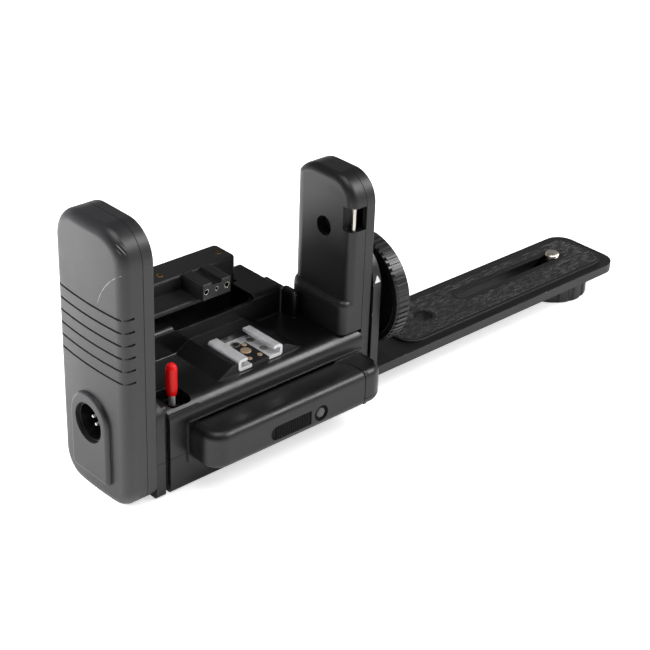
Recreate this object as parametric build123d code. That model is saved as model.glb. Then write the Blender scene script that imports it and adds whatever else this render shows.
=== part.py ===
from build123d import *
from math import cos, pi, radians, sin
import os

# Camera flash bracket, in millimetres
# A battery base carries a hot shoe between two uprights, a hand grip on the left and a
# pivoting arm with a camera screw on the right.
# +Z is up, +X runs from the grip out along the arm, and -Y is the side the photographer holds.
# The origin is on the table, below the crossing of the hot shoe's and the arm's centre lines.

# Clearances and cuts
overrun = 1.0
seat_gap = 0.3
face_gap = 0.1
running_fit = 0.05
thin_fit = 0.15
touch = 0.02
full_turn = 360

# Wall and edge sizes of the mouldings
shell_wall = 2.0
moulded_edge = 1.5
soft_edge = 0.8

# Base housing
base_left = -46.3
base_right = 47.65
base_front = -18.1
base_depth = 57.6
base_back = base_front + base_depth
floor_top = 35.0
floor_thickness = 2.2
front_edge_radius = 6.0
back_edge_radius = 3.0
shell_seam = 14.6

# Raised block behind the cradle, with its open well
block_front = 13.0
block_right = 31.6
block_height = 11.6
block_top = floor_top + block_height
block_wall = 1.5
block_edge = 2.0
well_rim_drop = 2.2
well_rim_radius = 1.8
well_left = -20.5
well_right = 18.5
well_corner_radius = 3.0
well_depth = 10.5
well_floor = block_top - well_depth
shoulder_gap = 1.0
shoulder_width = 3.6
shoulder_edge = 1.5
shoulder_top_edge = 1.2
shoulder_front = 6.0
shoulder_back = 14.2

# Hand grip
grip_gap = 6.3
grip_thickness = 14.4
grip_right = base_left - grip_gap
grip_left = grip_right - grip_thickness
grip_inner_thickness = 4.7
grip_seam = grip_right - grip_inner_thickness
grip_front = -19.1
grip_width = 39.6
grip_back = grip_front + grip_width
grip_height = 108.9
grip_top_radius = 13.0
grip_front_foot_radius = 8.5
grip_back_foot_radius = 11.0
grip_crown = 1.3
grip_edge_radius = 4.2
grip_wall = 2.4
groove_count = 6
groove_lowest = 53.2
groove_pitch = 4.95
groove_width = 0.8
groove_depth = 0.7
groove_reach = 5.9

# Cheek of the base against the grip, and the shadow groove beside it
cheek_thickness = 2.2
cheek_right = base_left - cheek_thickness
cheek_height = 38.0
cheek_top_radius = 7.0
cheek_inset = 1.0
neck_inset = 2.0

# Raised panel and round socket in the grip
panel_height = 1.6
panel_width = 22.0
panel_centre_y = 0.3
panel_bottom = 8.0
panel_top = 42.0
panel_corner_radius = 2.0
panel_arch_radius = 10.9
panel_edge = 1.5
socket_y = 0.1
socket_height = 30.3
socket_sink = 1.5
socket_radius = 7.7
socket_wall = 0.8
socket_depth = 9.5
socket_floor = 2.0
socket_boss_radius = 3.8
socket_boss_height = 2.0
pin_circle_radius = 2.6
pin_count = 5
pin_radius = 0.5
pin_length = 5.2

# Upright on the right
upright_front = -16.7
upright_width = 33.4
upright_back = upright_front + upright_width
upright_seam = base_right
outer_plate_thickness = 4.85
upright_outer = upright_seam + outer_plate_thickness
inner_half_thickness = 7.45
upright_inner = upright_seam - inner_half_thickness
upright_height = 98.4
upright_top_radius = 11.5
upright_wall = 2.2
upright_front_edge = 3.2
upright_back_edge = 6.5
upright_hollow_back = 4.2
foot_step = 3.3
foot_back_edge = 9.5
foot_hollow_back = 6.0
foot_inner = upright_inner - foot_step
ledge_rise = 14.0
ledge_height = floor_top + ledge_rise
ledge_blend = 2.6
outer_edge_radius = 0.9
peg_hole_radius = 4.0
peg_hole_depth = 5.0
peg_hole_y = -1.5
peg_hole_drop = 22.8
peg_hole_z = upright_height - peg_hole_drop
peg_boss_wall = 1.4

# Strap notch and its pin
notch_drop = 20.8
notch_bottom = upright_height - notch_drop
notch_height = 9.6
notch_depth = 5.0
strap_pin_radius = 0.8
strap_pin_setback = 2.8
strap_pin_x = upright_inner + strap_pin_setback
strap_pin_inset = 1.9
strap_pin_socket = 3.0

# Battery bar on the front
bar_inset = 8.8
bar_left = base_left + bar_inset
bar_depth = 13.9
bar_front = base_front - bar_depth
bar_bottom = 11.0
bar_height = 15.3
bar_top = bar_bottom + bar_height
bar_corner_radius = 7.5
bar_edge_radius = 3.4
bar_wall = 1.6
end_cap_length = 11.45
bar_seam = base_right - end_cap_length
bar_seam_radius = 9.0
bar_seam_gap = 0.4
pad_height = 0.6
pad_overhang = 1.2
mouth_margin = 2.0

# Cover lock button
button_inset = 22.3
button_x = bar_seam - button_inset
button_rise = 6.3
button_z = bar_bottom + button_rise
button_radius = 2.0
button_dish_radius = 3.3
button_dish_depth = 0.7
button_stem_radius = 1.2
button_travel = 1.2
button_flange_radius = 2.9
button_flange_height = 0.8
button_proud = 0.2
spring_wire = 0.4
spring_clearance = 0.3

# Grip ribs pressed into the battery cover
rib_panel_gap = 5.0
rib_panel_length = 19.7
rib_panel_right = button_x - rib_panel_gap
rib_panel_left = rib_panel_right - rib_panel_length
rib_panel_rise = 3.4
rib_panel_bottom = bar_bottom + rib_panel_rise
rib_panel_height = 5.8
rib_panel_radius = 2.8
rib_panel_depth = 0.5
rib_pitch = 0.9
rib_share = 0.5

# Battery cells, holder and contacts
cell_radius = 7.25
cell_length = 50.5
cell_count = 4
cell_clearance = 0.2
cell_web = 0.8
holder_wall = 1.2
cell_nub_radius = 2.6
cell_nub_length = 1.0
contact_sheet = 0.4
contact_bump_radius = 2.4
contact_tip_radius = 1.2
cell_setback = 1.7
cell_front = base_front + cell_setback
ledge_width = 3.0

# Circuit board under the battery holder
board_thickness = 1.6
board_margin = 7.0
board_standoff = 2.5
chip_size = 9.0
chip_thickness = 1.6
board_post_radius = 2.2

# Hot shoe and its plinth
plinth_height = 3.8
plinth_foot_half = 20.0
plinth_top_half = 13.2
plinth_front = -12.6
shoe_sheet = 1.2
shoe_slot_width = 18.75
shoe_slot_height = 2.3
shoe_mouth_width = 12.6
shoe_front = -12.9
shoe_length = 18.2
shoe_back = shoe_front + shoe_length
shoe_bed_rise = 0.4
shoe_bed = floor_top + shoe_bed_rise
contact_plate_half = 4.15
contact_plate_back = 1.0
contact_plate_proud = 0.1
shoe_slit_x = 6.1
shoe_slit_width = 0.4
shoe_slit_front = -11.8
shoe_slit_length = 3.4
shoe_slit_depth = 0.5
shoe_screw_x = 7.0
shoe_screw_places_y = [-6.4, 1.6]
shoe_screw_head_radius = 1.7
shoe_screw_head_height = 0.6
shoe_screw_radius = 0.9
shoe_screw_length = 5.0
lock_hole_radius = 1.5
lock_hole_y = 1.9
lock_hole_depth = 1.2
lock_ring_width = 0.4
lock_ring_proud = 0.1
main_contact_radius = 2.15
main_contact_y = -4.1
side_contact_radius = 1.05
side_contact_places = [(2.4, -0.4), (2.3, -9.5), (-2.5, -9.5)]
contact_proud = 0.3
contact_travel = 0.6
contact_edge = 0.15
contact_stem = 1.6
contact_insulation = 0.3

# Terminal box behind the well
box_half_width = 21.0
box_front = 27.0
box_rise = 11.4
box_top = block_top + box_rise
box_wall = 1.8
box_edge = 1.2
box_corner_radius = 2.2
shelf_left = -28.0
box_overhang = 0.5
step_front = 16.8
step_rise = 5.4
step_top = block_top + step_rise
box_screw_places = [(-12.5, 32.1), (17.0, 33.4)]
box_boss_radius = 3.0

# Connector block on the terminal box's step
connector_left = -5.8
connector_right = 7.5
connector_overhang = 2.8
connector_front = step_front - connector_overhang
connector_bottom = step_top
connector_height = 6.6
connector_top = connector_bottom + connector_height
connector_channel_depth = 1.3
connector_rib_width = 4.3
sleeve_height = (connector_bottom + connector_top) / 2
sleeve_spacing = 4.9
sleeve_radius = 1.25
middle_sleeve_radius = 0.95
sleeve_wall = 0.3
sleeve_length = 8.0
connector_edge = 0.5

# Toggle switch in its pocket
toggle_inset_x = 7.0
toggle_x = base_left + toggle_inset_x
toggle_inset_y = 8.1
toggle_y = base_front + toggle_inset_y
pocket_depth = 4.6
pocket_half_x = 5.2
pocket_half_y = 5.6
pocket_radius = 2.0
pocket_wall = 1.6
toggle_thread_radius = 3.0
toggle_thread_height = 1.9
toggle_nut_across = 8.0
toggle_nut_height = 1.4
toggle_body_width = 7.0
toggle_body_depth = 12.0
toggle_body_shift = 1.0
toggle_body_height = 9.0
lever_radius = 1.3
lever_ball_radius = 1.9
lever_swing = 12.0
lever_rise = 12.7
lever_top = floor_top + lever_rise
sleeve_foot_rise = 0.6
sleeve_bottom = floor_top + sleeve_foot_rise
sleeve_rise = 13.5
sleeve_top = floor_top + sleeve_rise
sleeve_outer_radius = 2.15
sleeve_foot_radius = 1.75
toggle_pin_count = 3
toggle_pin_width = 1.0
toggle_pin_length = 3.2
toggle_pin_pitch = 3.6

# Pivot of the arm: level of the arm, dial, stud and threaded insert
arm_bottom = 10.55
arm_thickness = 4.0
pivot_rise = 7.0
pivot_height = floor_top + pivot_rise
stud_radius = 3.9
washer_radius = 13.0
washer_thickness = 0.5
insert_radius = 5.2
insert_cover = 0.55
insert_length = outer_plate_thickness - washer_thickness - insert_cover
insert_flange_radius = 6.2
insert_flange = 1.5
insert_boss_wall = 2.5
stud_reach = 2.65
stud_end = upright_seam - stud_reach
dial_hub_radius = 11.0
dial_hub_length = 3.8
dial_arm_gap = 3.85
dial_rim_radius = pivot_height - arm_bottom - arm_thickness - dial_arm_gap
dial_rim_width = 7.0
dial_rim_wall = 3.0
dial_face_depth = 1.4
dial_back_depth = 2.0
dial_chamfer = 0.8
dial_rib_count = 60
dial_rib_depth = 0.7
dial_rib_share = 0.45
dial_cap_radius = 8.0
dial_cap_thickness = 1.2

# L-shaped arm
arm_half_width = 17.5
arm_reach = 155.35
arm_right = upright_outer + arm_reach
arm_corner_radius = 8.0
arm_bend_outer = 3.0
arm_bend_inner = 1.0
ear_rise = 8.7
ear_arc_height = pivot_height + ear_rise
mat_thickness = 1.0
mat_start = 26.0
mat_left = upright_outer + mat_start
mat_margin = 3.85
mat_right = arm_right - mat_margin
mat_half_width = 14.0
mat_radius = 8.0
mat_edge = 0.4
locating_hole_inset = 21.9
locating_hole_x = mat_left + locating_hole_inset
locating_hole_radius = 4.0
slot_inset_left = 44.5
slot_left = mat_left + slot_inset_left
slot_inset_right = 14.0
slot_right = mat_right - slot_inset_right
slot_width = 7.0
slot_y = 2.96

# Camera screw, its knob and sliding washer
screw_inset = 4.05
screw_x = slot_right - screw_inset
screw_radius = 3.175
screw_rise = 1.7
screw_top = arm_bottom + arm_thickness + mat_thickness + screw_rise
screw_neck_radius = 2.5
screw_chamfer = 0.5
slide_fit = 0.2
slider_flange = 1.0
slider_flange_radius = 7.5
slider_left_reach = 6.5
slider_right_reach = 3.85
slider_tongue = 3.0
knob_radius = 16.5
knob_flute_count = 14
knob_flute_radius = 2.2
knob_flute_depth = 0.9
knob_edge = 1.0
knob_dish_radius = 9.0
knob_dish_depth = 1.5
knob_floor = 3.0

# Fasteners
screw_head_radius = 2.4
screw_head_height = 1.4
screw_shank_radius = 1.2
shell_screw_length = 15.0
shell_screw_shell = 3.0
boss_radius = 3.4
boss_bite = 0.4
grip_screw_length = 11.5
grip_screw_y = [-6.0, 6.0]
upright_screw_length = 5.4
screw_hole_spare = 0.3
upright_screw_y = [-6.0, 10.0]
end_screw_z = [8.0, 24.0]
box_screw_head_radius = 1.7
box_screw_head_height = 1.0
box_screw_radius = 0.9
box_screw_length = 7.0


def block(x_range, y_range, z_range):
    """Rectangular solid between three pairs of limits."""
    size = [high - low for low, high in (x_range, y_range, z_range)]
    corner = [low for low, high in (x_range, y_range, z_range)]
    return Pos(*corner) * Box(*size, align=(Align.MIN, Align.MIN, Align.MIN))


def station(axis, place):
    """Plane square to an axis: its own axes are Y, Z for X; X, Z for Y; and X, Y for Z."""
    if axis == "x":
        return Plane(origin=(place, 0, 0), x_dir=(0, 1, 0), z_dir=(1, 0, 0))
    if axis == "y":
        return Plane(origin=(0, place, 0), x_dir=(1, 0, 0), z_dir=(0, -1, 0))
    return Plane(origin=(0, 0, place), x_dir=(1, 0, 0), z_dir=(0, 0, 1))


def direction(axis):
    return {"x": (1, 0, 0), "y": (0, 1, 0), "z": (0, 0, 1)}[axis]


def prism(axis, corners, radii, start, end):
    """Solid with straight sides: a rounded outline drawn square to an axis."""
    line = FilletPolyline(*corners, radius=radii, close=True)
    return extrude(station(axis, start) * make_face(line), amount=end - start, dir=direction(axis))


def tile(axis, u_range, v_range, radius, start, end):
    """Prism over a rectangle with four equal corners."""
    corners = [(u_range[0], v_range[0]), (u_range[1], v_range[0]),
               (u_range[1], v_range[1]), (u_range[0], v_range[1])]
    return prism(axis, corners, radius, start, end)


def rod(axis, u, v, radius, start, end):
    """Round bar along an axis."""
    disc = station(axis, start) * Pos(u, v) * Circle(radius)
    return extrude(disc, amount=end - start, dir=direction(axis))


def tube(axis, u, v, outer, inner, start, end):
    """Round bar with a round hole right through."""
    return rod(axis, u, v, outer, start, end) - rod(axis, u, v, inner, start - overrun, end + overrun)


def edges_at(solid, x=None, y=None, z=None):
    """Edges whose middle lies at the named coordinates."""
    wanted = [(index, value) for index, value in enumerate((x, y, z)) if value is not None]

    def fits(edge):
        middle = edge @ 0.5
        return all(abs(tuple(middle)[index] - value) < touch for index, value in wanted)
    return solid.edges().filter_by(fits)


# Base housing

def base_side_profile():
    """Section through the housing: floor in front, raised block behind."""
    corners = [(base_front, 0), (base_back, 0), (base_back, block_top),
               (block_front, block_top), (block_front, floor_top), (base_front, floor_top)]
    radii = [moulded_edge, moulded_edge, back_edge_radius, block_edge, soft_edge, front_edge_radius]
    return corners, radii


def shoulder():
    """Low horn of the housing between the raised block and the upright."""
    left = block_right + shoulder_gap
    top = block_top - soft_edge
    horn = tile("z", (left, left + shoulder_width), (shoulder_front, shoulder_back), shoulder_edge,
                floor_top - floor_thickness, top)
    return fillet(edges_at(horn, z=top), shoulder_top_edge)


def plinth():
    """Ramp-sided stand that carries the hot shoe, running back into the raised block."""
    foot = floor_top - floor_thickness
    top = floor_top + plinth_height
    corners = [(-plinth_foot_half, foot), (plinth_foot_half, foot), (plinth_foot_half, floor_top),
               (plinth_top_half, top), (-plinth_top_half, top), (-plinth_foot_half, floor_top)]
    return prism("y", corners, 0, plinth_front, block_front + block_wall)


def bar_body(inset):
    """Battery bar across the front, with two round corners in plan; inset makes its hollow."""
    left = bar_left + inset
    right = base_right - inset
    front = bar_front + inset
    back = base_front + overrun
    corners = [(left, back), (left, front), (right, front), (right, back)]
    radius = bar_corner_radius - inset
    body = prism("z", corners, [0, radius, radius, 0], bar_bottom + inset, bar_top - inset)
    if inset == 0:
        long_edges = [edge for level in (bar_bottom, bar_top) for edge in edges_at(body, z=level)
                      if (edge @ 0.5).Y < back - touch]
        body = fillet(long_edges, bar_edge_radius)
    return body


def cover_side(shift):
    """Space left of the curved end of the battery cover, moved right by shift."""
    right = bar_seam + shift
    back = base_front + overrun
    corners = [(bar_left - overrun, back), (bar_left - overrun, bar_front - overrun),
               (right, bar_front - overrun), (right, back)]
    return prism("z", corners, [0, 0, 0, bar_seam_radius], bar_bottom - overrun, bar_top + overrun)


def front_pad():
    """Low raised field on the front wall that the battery cover slides over."""
    return tile("y", (bar_left - pad_overhang, base_right), (bar_bottom - pad_overhang,
                bar_top + pad_overhang), pad_overhang, base_front - pad_height, base_front + touch)


def cover_back():
    """Plane of the cover's open edge, just off the pad."""
    return base_front - pad_height - face_gap


def end_cap():
    """Fixed end of the bar, right of the cover's curved end."""
    cap = bar_body(0) - cover_side(bar_seam_gap) - bar_body(bar_wall)
    cap -= block((bar_left - overrun, base_right + overrun), (base_front + touch, base_back),
                 (0, floor_top))
    return cap + end_cap_wall()


def end_cap_wall():
    """Closing wall of the end cap, behind the cover's end."""
    strip = cover_side(bar_seam_gap + bar_wall) - cover_side(bar_seam_gap)
    return strip & bar_body(soft_edge)


def holder_half_width():
    """Half the width of the row of battery cells in its holder."""
    return cell_count * cell_pitch() / 2 + holder_wall


def cell_pitch():
    """Spacing of the battery cells, which leaves a thin web between their bays."""
    return 2 * (cell_radius + cell_clearance) + cell_web


def cell_places():
    """X of each battery cell's axis."""
    return [(index - (cell_count - 1) / 2) * cell_pitch() for index in range(cell_count)]


def cell_height():
    return bar_bottom + bar_height / 2


def holder_span_z():
    """Lowest and highest level of the battery holder."""
    reach = cell_radius + cell_clearance + holder_wall
    return cell_height() - reach, cell_height() + reach


def base_hollow():
    """Space inside the housing."""
    inner_front = base_front + shell_wall
    inner_back = base_back - shell_wall
    under_floor = floor_top - floor_thickness
    room = block((base_left + shell_wall, base_right - shell_wall), (inner_front, inner_back),
                 (shell_wall, under_floor))
    seat_half = box_half_width + seat_gap + block_wall
    loft_y = (block_front + block_wall, inner_back)
    loft_z = (under_floor - touch, block_top - shell_wall)
    loft_left = block((base_left + shell_wall, -seat_half), loft_y, loft_z)
    loft_right = block((seat_half, block_right - shell_wall), loft_y, loft_z)
    return room + loft_left + loft_right


def well_space():
    """Open well in the raised block, which also seats the terminal box."""
    inner = tile("z", (well_left, well_right), (block_front + block_wall,
                 box_front + well_corner_radius), well_corner_radius, well_floor, block_top + overrun)
    seat = block((-box_half_width - seat_gap, box_half_width + seat_gap),
                 (box_front - seat_gap, base_back + overrun), (well_floor, block_top + overrun))
    corners = [(well_left, block_top - well_rim_drop), (well_right, block_top - well_rim_drop),
               (well_right, block_top + overrun), (well_left, block_top + overrun)]
    low_rim = prism("y", corners, [well_rim_radius, well_rim_radius, 0, 0], block_front - overrun,
                    block_front + block_wall + well_corner_radius)
    return inner + seat + low_rim


def battery_opening():
    """Mouth in the front wall for the battery cells and the cover's contacts."""
    half = holder_half_width()
    low, high = holder_span_z()
    return tile("y", (-half - mouth_margin, half), (low, high), moulded_edge,
                base_front - pad_height - overrun, base_front + shell_wall + overrun)


def base_envelope():
    """Whole outside of the housing, without the bar."""
    corners, radii = base_side_profile()
    body = prism("x", corners, radii, base_left, base_right)
    body -= block((block_right, base_right + overrun), (block_front - soft_edge, base_back + overrun),
                  (floor_top, block_top + overrun))
    return body + shoulder() + plinth()


def shell_posts():
    """Places of the four screws that hold the two halves of the housing together."""
    inset = shell_wall + boss_radius - boss_bite
    left = base_left + inset
    right = base_right - inset
    back = base_back - inset
    return [(left, block_front), (left, back), (right, base_front + inset), (right, back)]


def cheek():
    """Flange of the lower shell that bolts against the grip, with a shadow groove."""
    front = base_front
    back = grip_back - cheek_inset
    flange = prism("x", [(front, 0), (back, 0), (back, cheek_height), (front, cheek_height)],
                   [moulded_edge, moulded_edge, moulded_edge, cheek_top_radius],
                   grip_right, cheek_right)
    neck = tile("x", (front + neck_inset, back - neck_inset),
                (neck_inset, cheek_height - neck_inset), moulded_edge, cheek_right - touch, base_left)
    return flange + neck


def lower_shell():
    """Tray of the housing, up to the seam round its sides."""
    low_side = block((grip_left, arm_right), (bar_front - overrun, base_back + overrun),
                     (-overrun, shell_seam))
    tray = base_envelope() & low_side
    tray -= base_hollow()
    tray += (end_cap() + front_pad()) & low_side
    tray += cheek()
    tray -= battery_opening()
    for x, y in shell_posts():
        tray += rod("z", x, y, boss_radius, shell_wall - touch, shell_seam)
        tray -= rod("z", x, y, screw_shank_radius + thin_fit, -overrun, shell_seam + overrun)
        tray -= rod("z", x, y, screw_head_radius + thin_fit, -overrun, shell_screw_shell - thin_fit)
    for x, y in board_posts():
        tray += rod("z", x, y, board_post_radius, shell_wall - touch, board_bottom())
    tray += holder_ledges()
    for y in grip_screw_y:
        for z in end_screw_z:
            tray -= rod("x", y, z, screw_shank_radius + thin_fit, grip_right - overrun,
                        base_left + shell_wall + overrun)
    return tray - upright_screw_holes()


def holder_ledges():
    """Ledges along the front and back walls that the battery holder stands on."""
    half = holder_half_width()
    top = holder_span_z()[0]
    front = base_front + shell_wall
    back = base_back - shell_wall
    return [block((-half, half), (front - touch, front + ledge_width), (shell_wall - touch, top)),
            block((-half, half), (back - ledge_width, back + touch), (shell_wall - touch, top))]


def upright_screw_holes():
    """Clearance holes in the right-hand wall for the screws into the upright."""
    return [rod("x", y, z, screw_shank_radius + thin_fit, base_right - shell_wall - overrun,
                base_right + overrun) for y in upright_screw_y for z in end_screw_z]


def upper_shell():
    """Top of the housing, with the cradle floor, the plinth, the block and the well."""
    high_side = block((base_left - overrun, arm_right), (bar_front - overrun, base_back + overrun),
                      (shell_seam, box_top))
    envelope = base_envelope()
    lid = envelope - base_hollow()
    lid = lid & high_side
    lid -= well_space()
    lid += (end_cap() + front_pad()) & high_side
    lid -= battery_opening()
    lid -= shoe_bed_space()
    lid += pocket_tub()
    lid -= pocket_space()
    for x, y in shell_posts():
        lid += rod("z", x, y, boss_radius, shell_seam, block_top) & envelope
        lid -= rod("z", x, y, screw_shank_radius, shell_seam - overrun,
                   shell_screw_shell + shell_screw_length)
    for y in grip_screw_y:
        lid -= rod("x", y, end_screw_z[1], screw_shank_radius + thin_fit, base_left - overrun,
                   base_left + shell_wall + overrun)
    for x, y, radius in contact_places():
        lid -= rod("z", x, y, radius + contact_insulation, contact_foot() - contact_travel - face_gap,
                   shoe_bed + overrun)
    lid -= rod("z", 0, lock_hole_y, lock_hole_radius, shoe_bed - lock_hole_depth, shoe_bed + overrun)
    for x, y in shoe_screw_places():
        lid -= rod("z", x, y, shoe_screw_radius, floor_top - floor_thickness - overrun, shoe_bed + overrun)
    return lid - upright_screw_holes()


def shoe_bed_space():
    """Channel in the plinth that takes the hot shoe."""
    half = shoe_slot_width / 2 + shoe_sheet + touch
    return block((-half, half), (plinth_front - overrun, shoe_back + touch),
                 (shoe_bed, floor_top + plinth_height + overrun))


def pocket_limits(grow):
    return ((toggle_x - pocket_half_x - grow, toggle_x + pocket_half_x + grow),
            (toggle_y - pocket_half_y - grow, toggle_y + pocket_half_y + grow))


def pocket_tub():
    """Underside of the pocket around the toggle switch."""
    x_range, y_range = pocket_limits(pocket_wall)
    low = (max(x_range[0], base_left + touch), x_range[1])
    near = (max(y_range[0], base_front + touch), y_range[1])
    return block(low, near, (floor_top - pocket_depth - pocket_wall, floor_top - floor_thickness + touch))


def pocket_space():
    """Open pocket in the floor, and the hole for the toggle's threaded neck."""
    x_range, y_range = pocket_limits(0)
    pocket = tile("z", x_range, y_range, pocket_radius, floor_top - pocket_depth, floor_top + overrun)
    neck = rod("z", toggle_x, toggle_y, toggle_thread_radius + thin_fit,
               floor_top - pocket_depth - pocket_wall - overrun, floor_top)
    return pocket + neck


def shell_screws():
    """Four pan-head screws that come up from the underside."""
    screws = []
    for x, y in shell_posts():
        head_top = shell_screw_shell - thin_fit
        screws.append(rod("z", x, y, screw_head_radius, head_top - screw_head_height, head_top)
                      + rod("z", x, y, screw_shank_radius, head_top, head_top + shell_screw_length))
    return screws


# Battery cover, its lock and the cells

def cover_partition_y():
    """Back face of the wall inside the cover that carries the contacts."""
    return cover_back() - contact_sheet - face_gap


def battery_cover():
    """Sliding cover: hollow bar, left of its curved end, with a partition and finger ribs."""
    back_cut = block((bar_left - overrun, base_right + overrun), (cover_back(), base_back),
                     (0, floor_top))
    shell = (bar_body(0) & cover_side(0)) - back_cut
    hollow = bar_body(bar_wall) & cover_side(-bar_wall)
    hollow -= block((bar_left, base_right), (cover_partition_y() - bar_wall, cover_partition_y()),
                    (0, floor_top))
    cover = shell - hollow
    cover -= rib_panel_space()
    cover += rib_panel_ribs()
    cover -= rod("y", button_x, button_z, button_dish_radius, bar_front - overrun,
                 bar_front + button_dish_depth)
    cover -= rod("y", button_x, button_z, button_radius + running_fit, bar_front - overrun,
                 bar_front + bar_wall + overrun)
    return cover - rod("y", button_x, button_z, button_stem_radius + running_fit,
                       cover_partition_y() - bar_wall - overrun, cover_back() + overrun)


def rib_panel_space():
    """Shallow field for the finger ribs, round at its left end."""
    corners = [(rib_panel_left, rib_panel_bottom), (rib_panel_right, rib_panel_bottom),
               (rib_panel_right, rib_panel_bottom + rib_panel_height),
               (rib_panel_left, rib_panel_bottom + rib_panel_height)]
    return prism("y", corners, [rib_panel_radius, 0, 0, rib_panel_radius], bar_front - overrun,
                 bar_front + rib_panel_depth)


def rib_panel_ribs():
    """Upright finger ribs that stand in the shallow field."""
    first = rib_panel_left + rib_panel_radius
    count = int((rib_panel_right - first) / rib_pitch)
    ribs = [block((first + index * rib_pitch, first + (index + rib_share) * rib_pitch),
                  (bar_front, bar_front + rib_panel_depth + touch),
                  (rib_panel_bottom - touch, rib_panel_bottom + rib_panel_height + touch))
            for index in range(count)]
    return ribs


def button_flange_front():
    """Y where the button's flange rests on the inside of the cover's front wall."""
    return bar_front + bar_wall + face_gap


def lock_button():
    """Round push button with a flange that keeps it in the cover."""
    flange = button_flange_front()
    head = rod("y", button_x, button_z, button_radius, bar_front + button_dish_depth - button_proud,
               flange + touch)
    collar = rod("y", button_x, button_z, button_flange_radius, flange, flange + button_flange_height)
    stem = rod("y", button_x, button_z, button_stem_radius, flange + button_flange_height - touch,
               cover_partition_y() - button_travel - face_gap)
    return head + collar + stem


def button_spring():
    """Return spring around the button's stem, drawn as a plain sleeve inside the cover."""
    inner = button_stem_radius + spring_clearance
    return tube("y", button_x, button_z, inner + spring_wire, inner,
                button_flange_front() + button_flange_height + button_travel + face_gap,
                cover_partition_y() - bar_wall - face_gap)


def battery_cells():
    """Four round cells, lying front to back."""
    cells = []
    for index, x in enumerate(cell_places()):
        body = rod("y", x, cell_height(), cell_radius, cell_front,
                   cell_front + cell_length - cell_nub_length)
        nub = rod("y", x, cell_height(), cell_nub_radius, cell_front + cell_length - cell_nub_length,
                  cell_front + cell_length)
        if index % 2:
            middle = cell_front + cell_length / 2
            body = mirror(body + nub, about=station("y", middle))
            cells.append(body)
        else:
            cells.append(body + nub)
    return cells


def holder_back():
    return base_back - shell_wall - face_gap


def battery_holder():
    """Open-fronted block with one round bay for each cell."""
    half = holder_half_width()
    low, high = holder_span_z()
    body = tile("y", (-half, half), (low, high), holder_wall, base_front + shell_wall + face_gap,
                holder_back())
    end = holder_back() - holder_wall
    for x in cell_places():
        body -= rod("y", x, cell_height(), cell_radius + cell_clearance, base_front - overrun, end)
    for pair in cell_pairs():
        x_range, z_range = strip_limits(pair, thin_fit)
        body -= block(x_range, (end - contact_sheet - face_gap, end), z_range)
    return body


def cell_pairs():
    """The two neighbouring pairs of cells that each share a contact strip."""
    places = cell_places()
    return places[:2], places[2:]


def strip_limits(pair, grow):
    """Limits in X and Z of the strip across a pair of cells."""
    reach = contact_bump_radius + grow
    return (pair[0] - reach, pair[1] + reach), (cell_height() - reach, cell_height() + reach)


def contact_strips(seat, towards, tip):
    """Two sheet strips, each joining a pair of cells, with a sprung cone towards every cell."""
    strips = []
    for pair in cell_pairs():
        x_range, z_range = strip_limits(pair, 0)
        strip = block(x_range, sorted((seat, seat + towards * contact_sheet)), z_range)
        for x in pair:
            near = seat + towards * (contact_sheet - touch)
            strip += Solid.make_cone(contact_bump_radius, contact_tip_radius, abs(tip - near),
                                     Plane(origin=(x, near, cell_height()), z_dir=(0, towards, 0)))
        strips.append(strip)
    return strips


def front_contacts():
    """Contacts carried by the cover's partition."""
    return contact_strips(cover_partition_y(), 1, cell_front - seat_gap)


def rear_contacts():
    """Contacts at the closed end of the battery holder's bays."""
    return contact_strips(holder_back() - holder_wall, -1, cell_front + cell_length + seat_gap)


def board_bottom():
    return shell_wall + board_standoff


def board_limits():
    return ((base_left + shell_wall + board_margin, base_right - shell_wall - board_margin),
            (base_front + shell_wall + board_margin, base_back - shell_wall - board_margin))


def board_posts():
    """Four short posts under the circuit board."""
    (left, right), (front, back) = board_limits()
    inset = board_post_radius
    return [(x, y) for x in (left + inset, right - inset) for y in (front + inset, back - inset)]


def circuit_board():
    """Board with its switching chip, on posts under the battery holder."""
    x_range, y_range = board_limits()
    board = block(x_range, y_range, (board_bottom(), board_bottom() + board_thickness))
    chip_x = (x_range[0] + x_range[1]) / 2
    chip_y = (y_range[0] + y_range[1]) / 2
    chip_base = board_bottom() + board_thickness - touch
    chip = block((chip_x - chip_size / 2, chip_x + chip_size / 2),
                 (chip_y - chip_size / 2, chip_y + chip_size / 2), (chip_base, chip_base + chip_thickness))
    return board + chip


# Hot shoe

def shoe_levels():
    """Top of the shoe's floor plate, top of the contact plate, underside of the rails."""
    floor_plate = shoe_bed + shoe_sheet
    contact_plate = floor_plate + contact_plate_proud
    return floor_plate, contact_plate, contact_plate + shoe_slot_height


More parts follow.
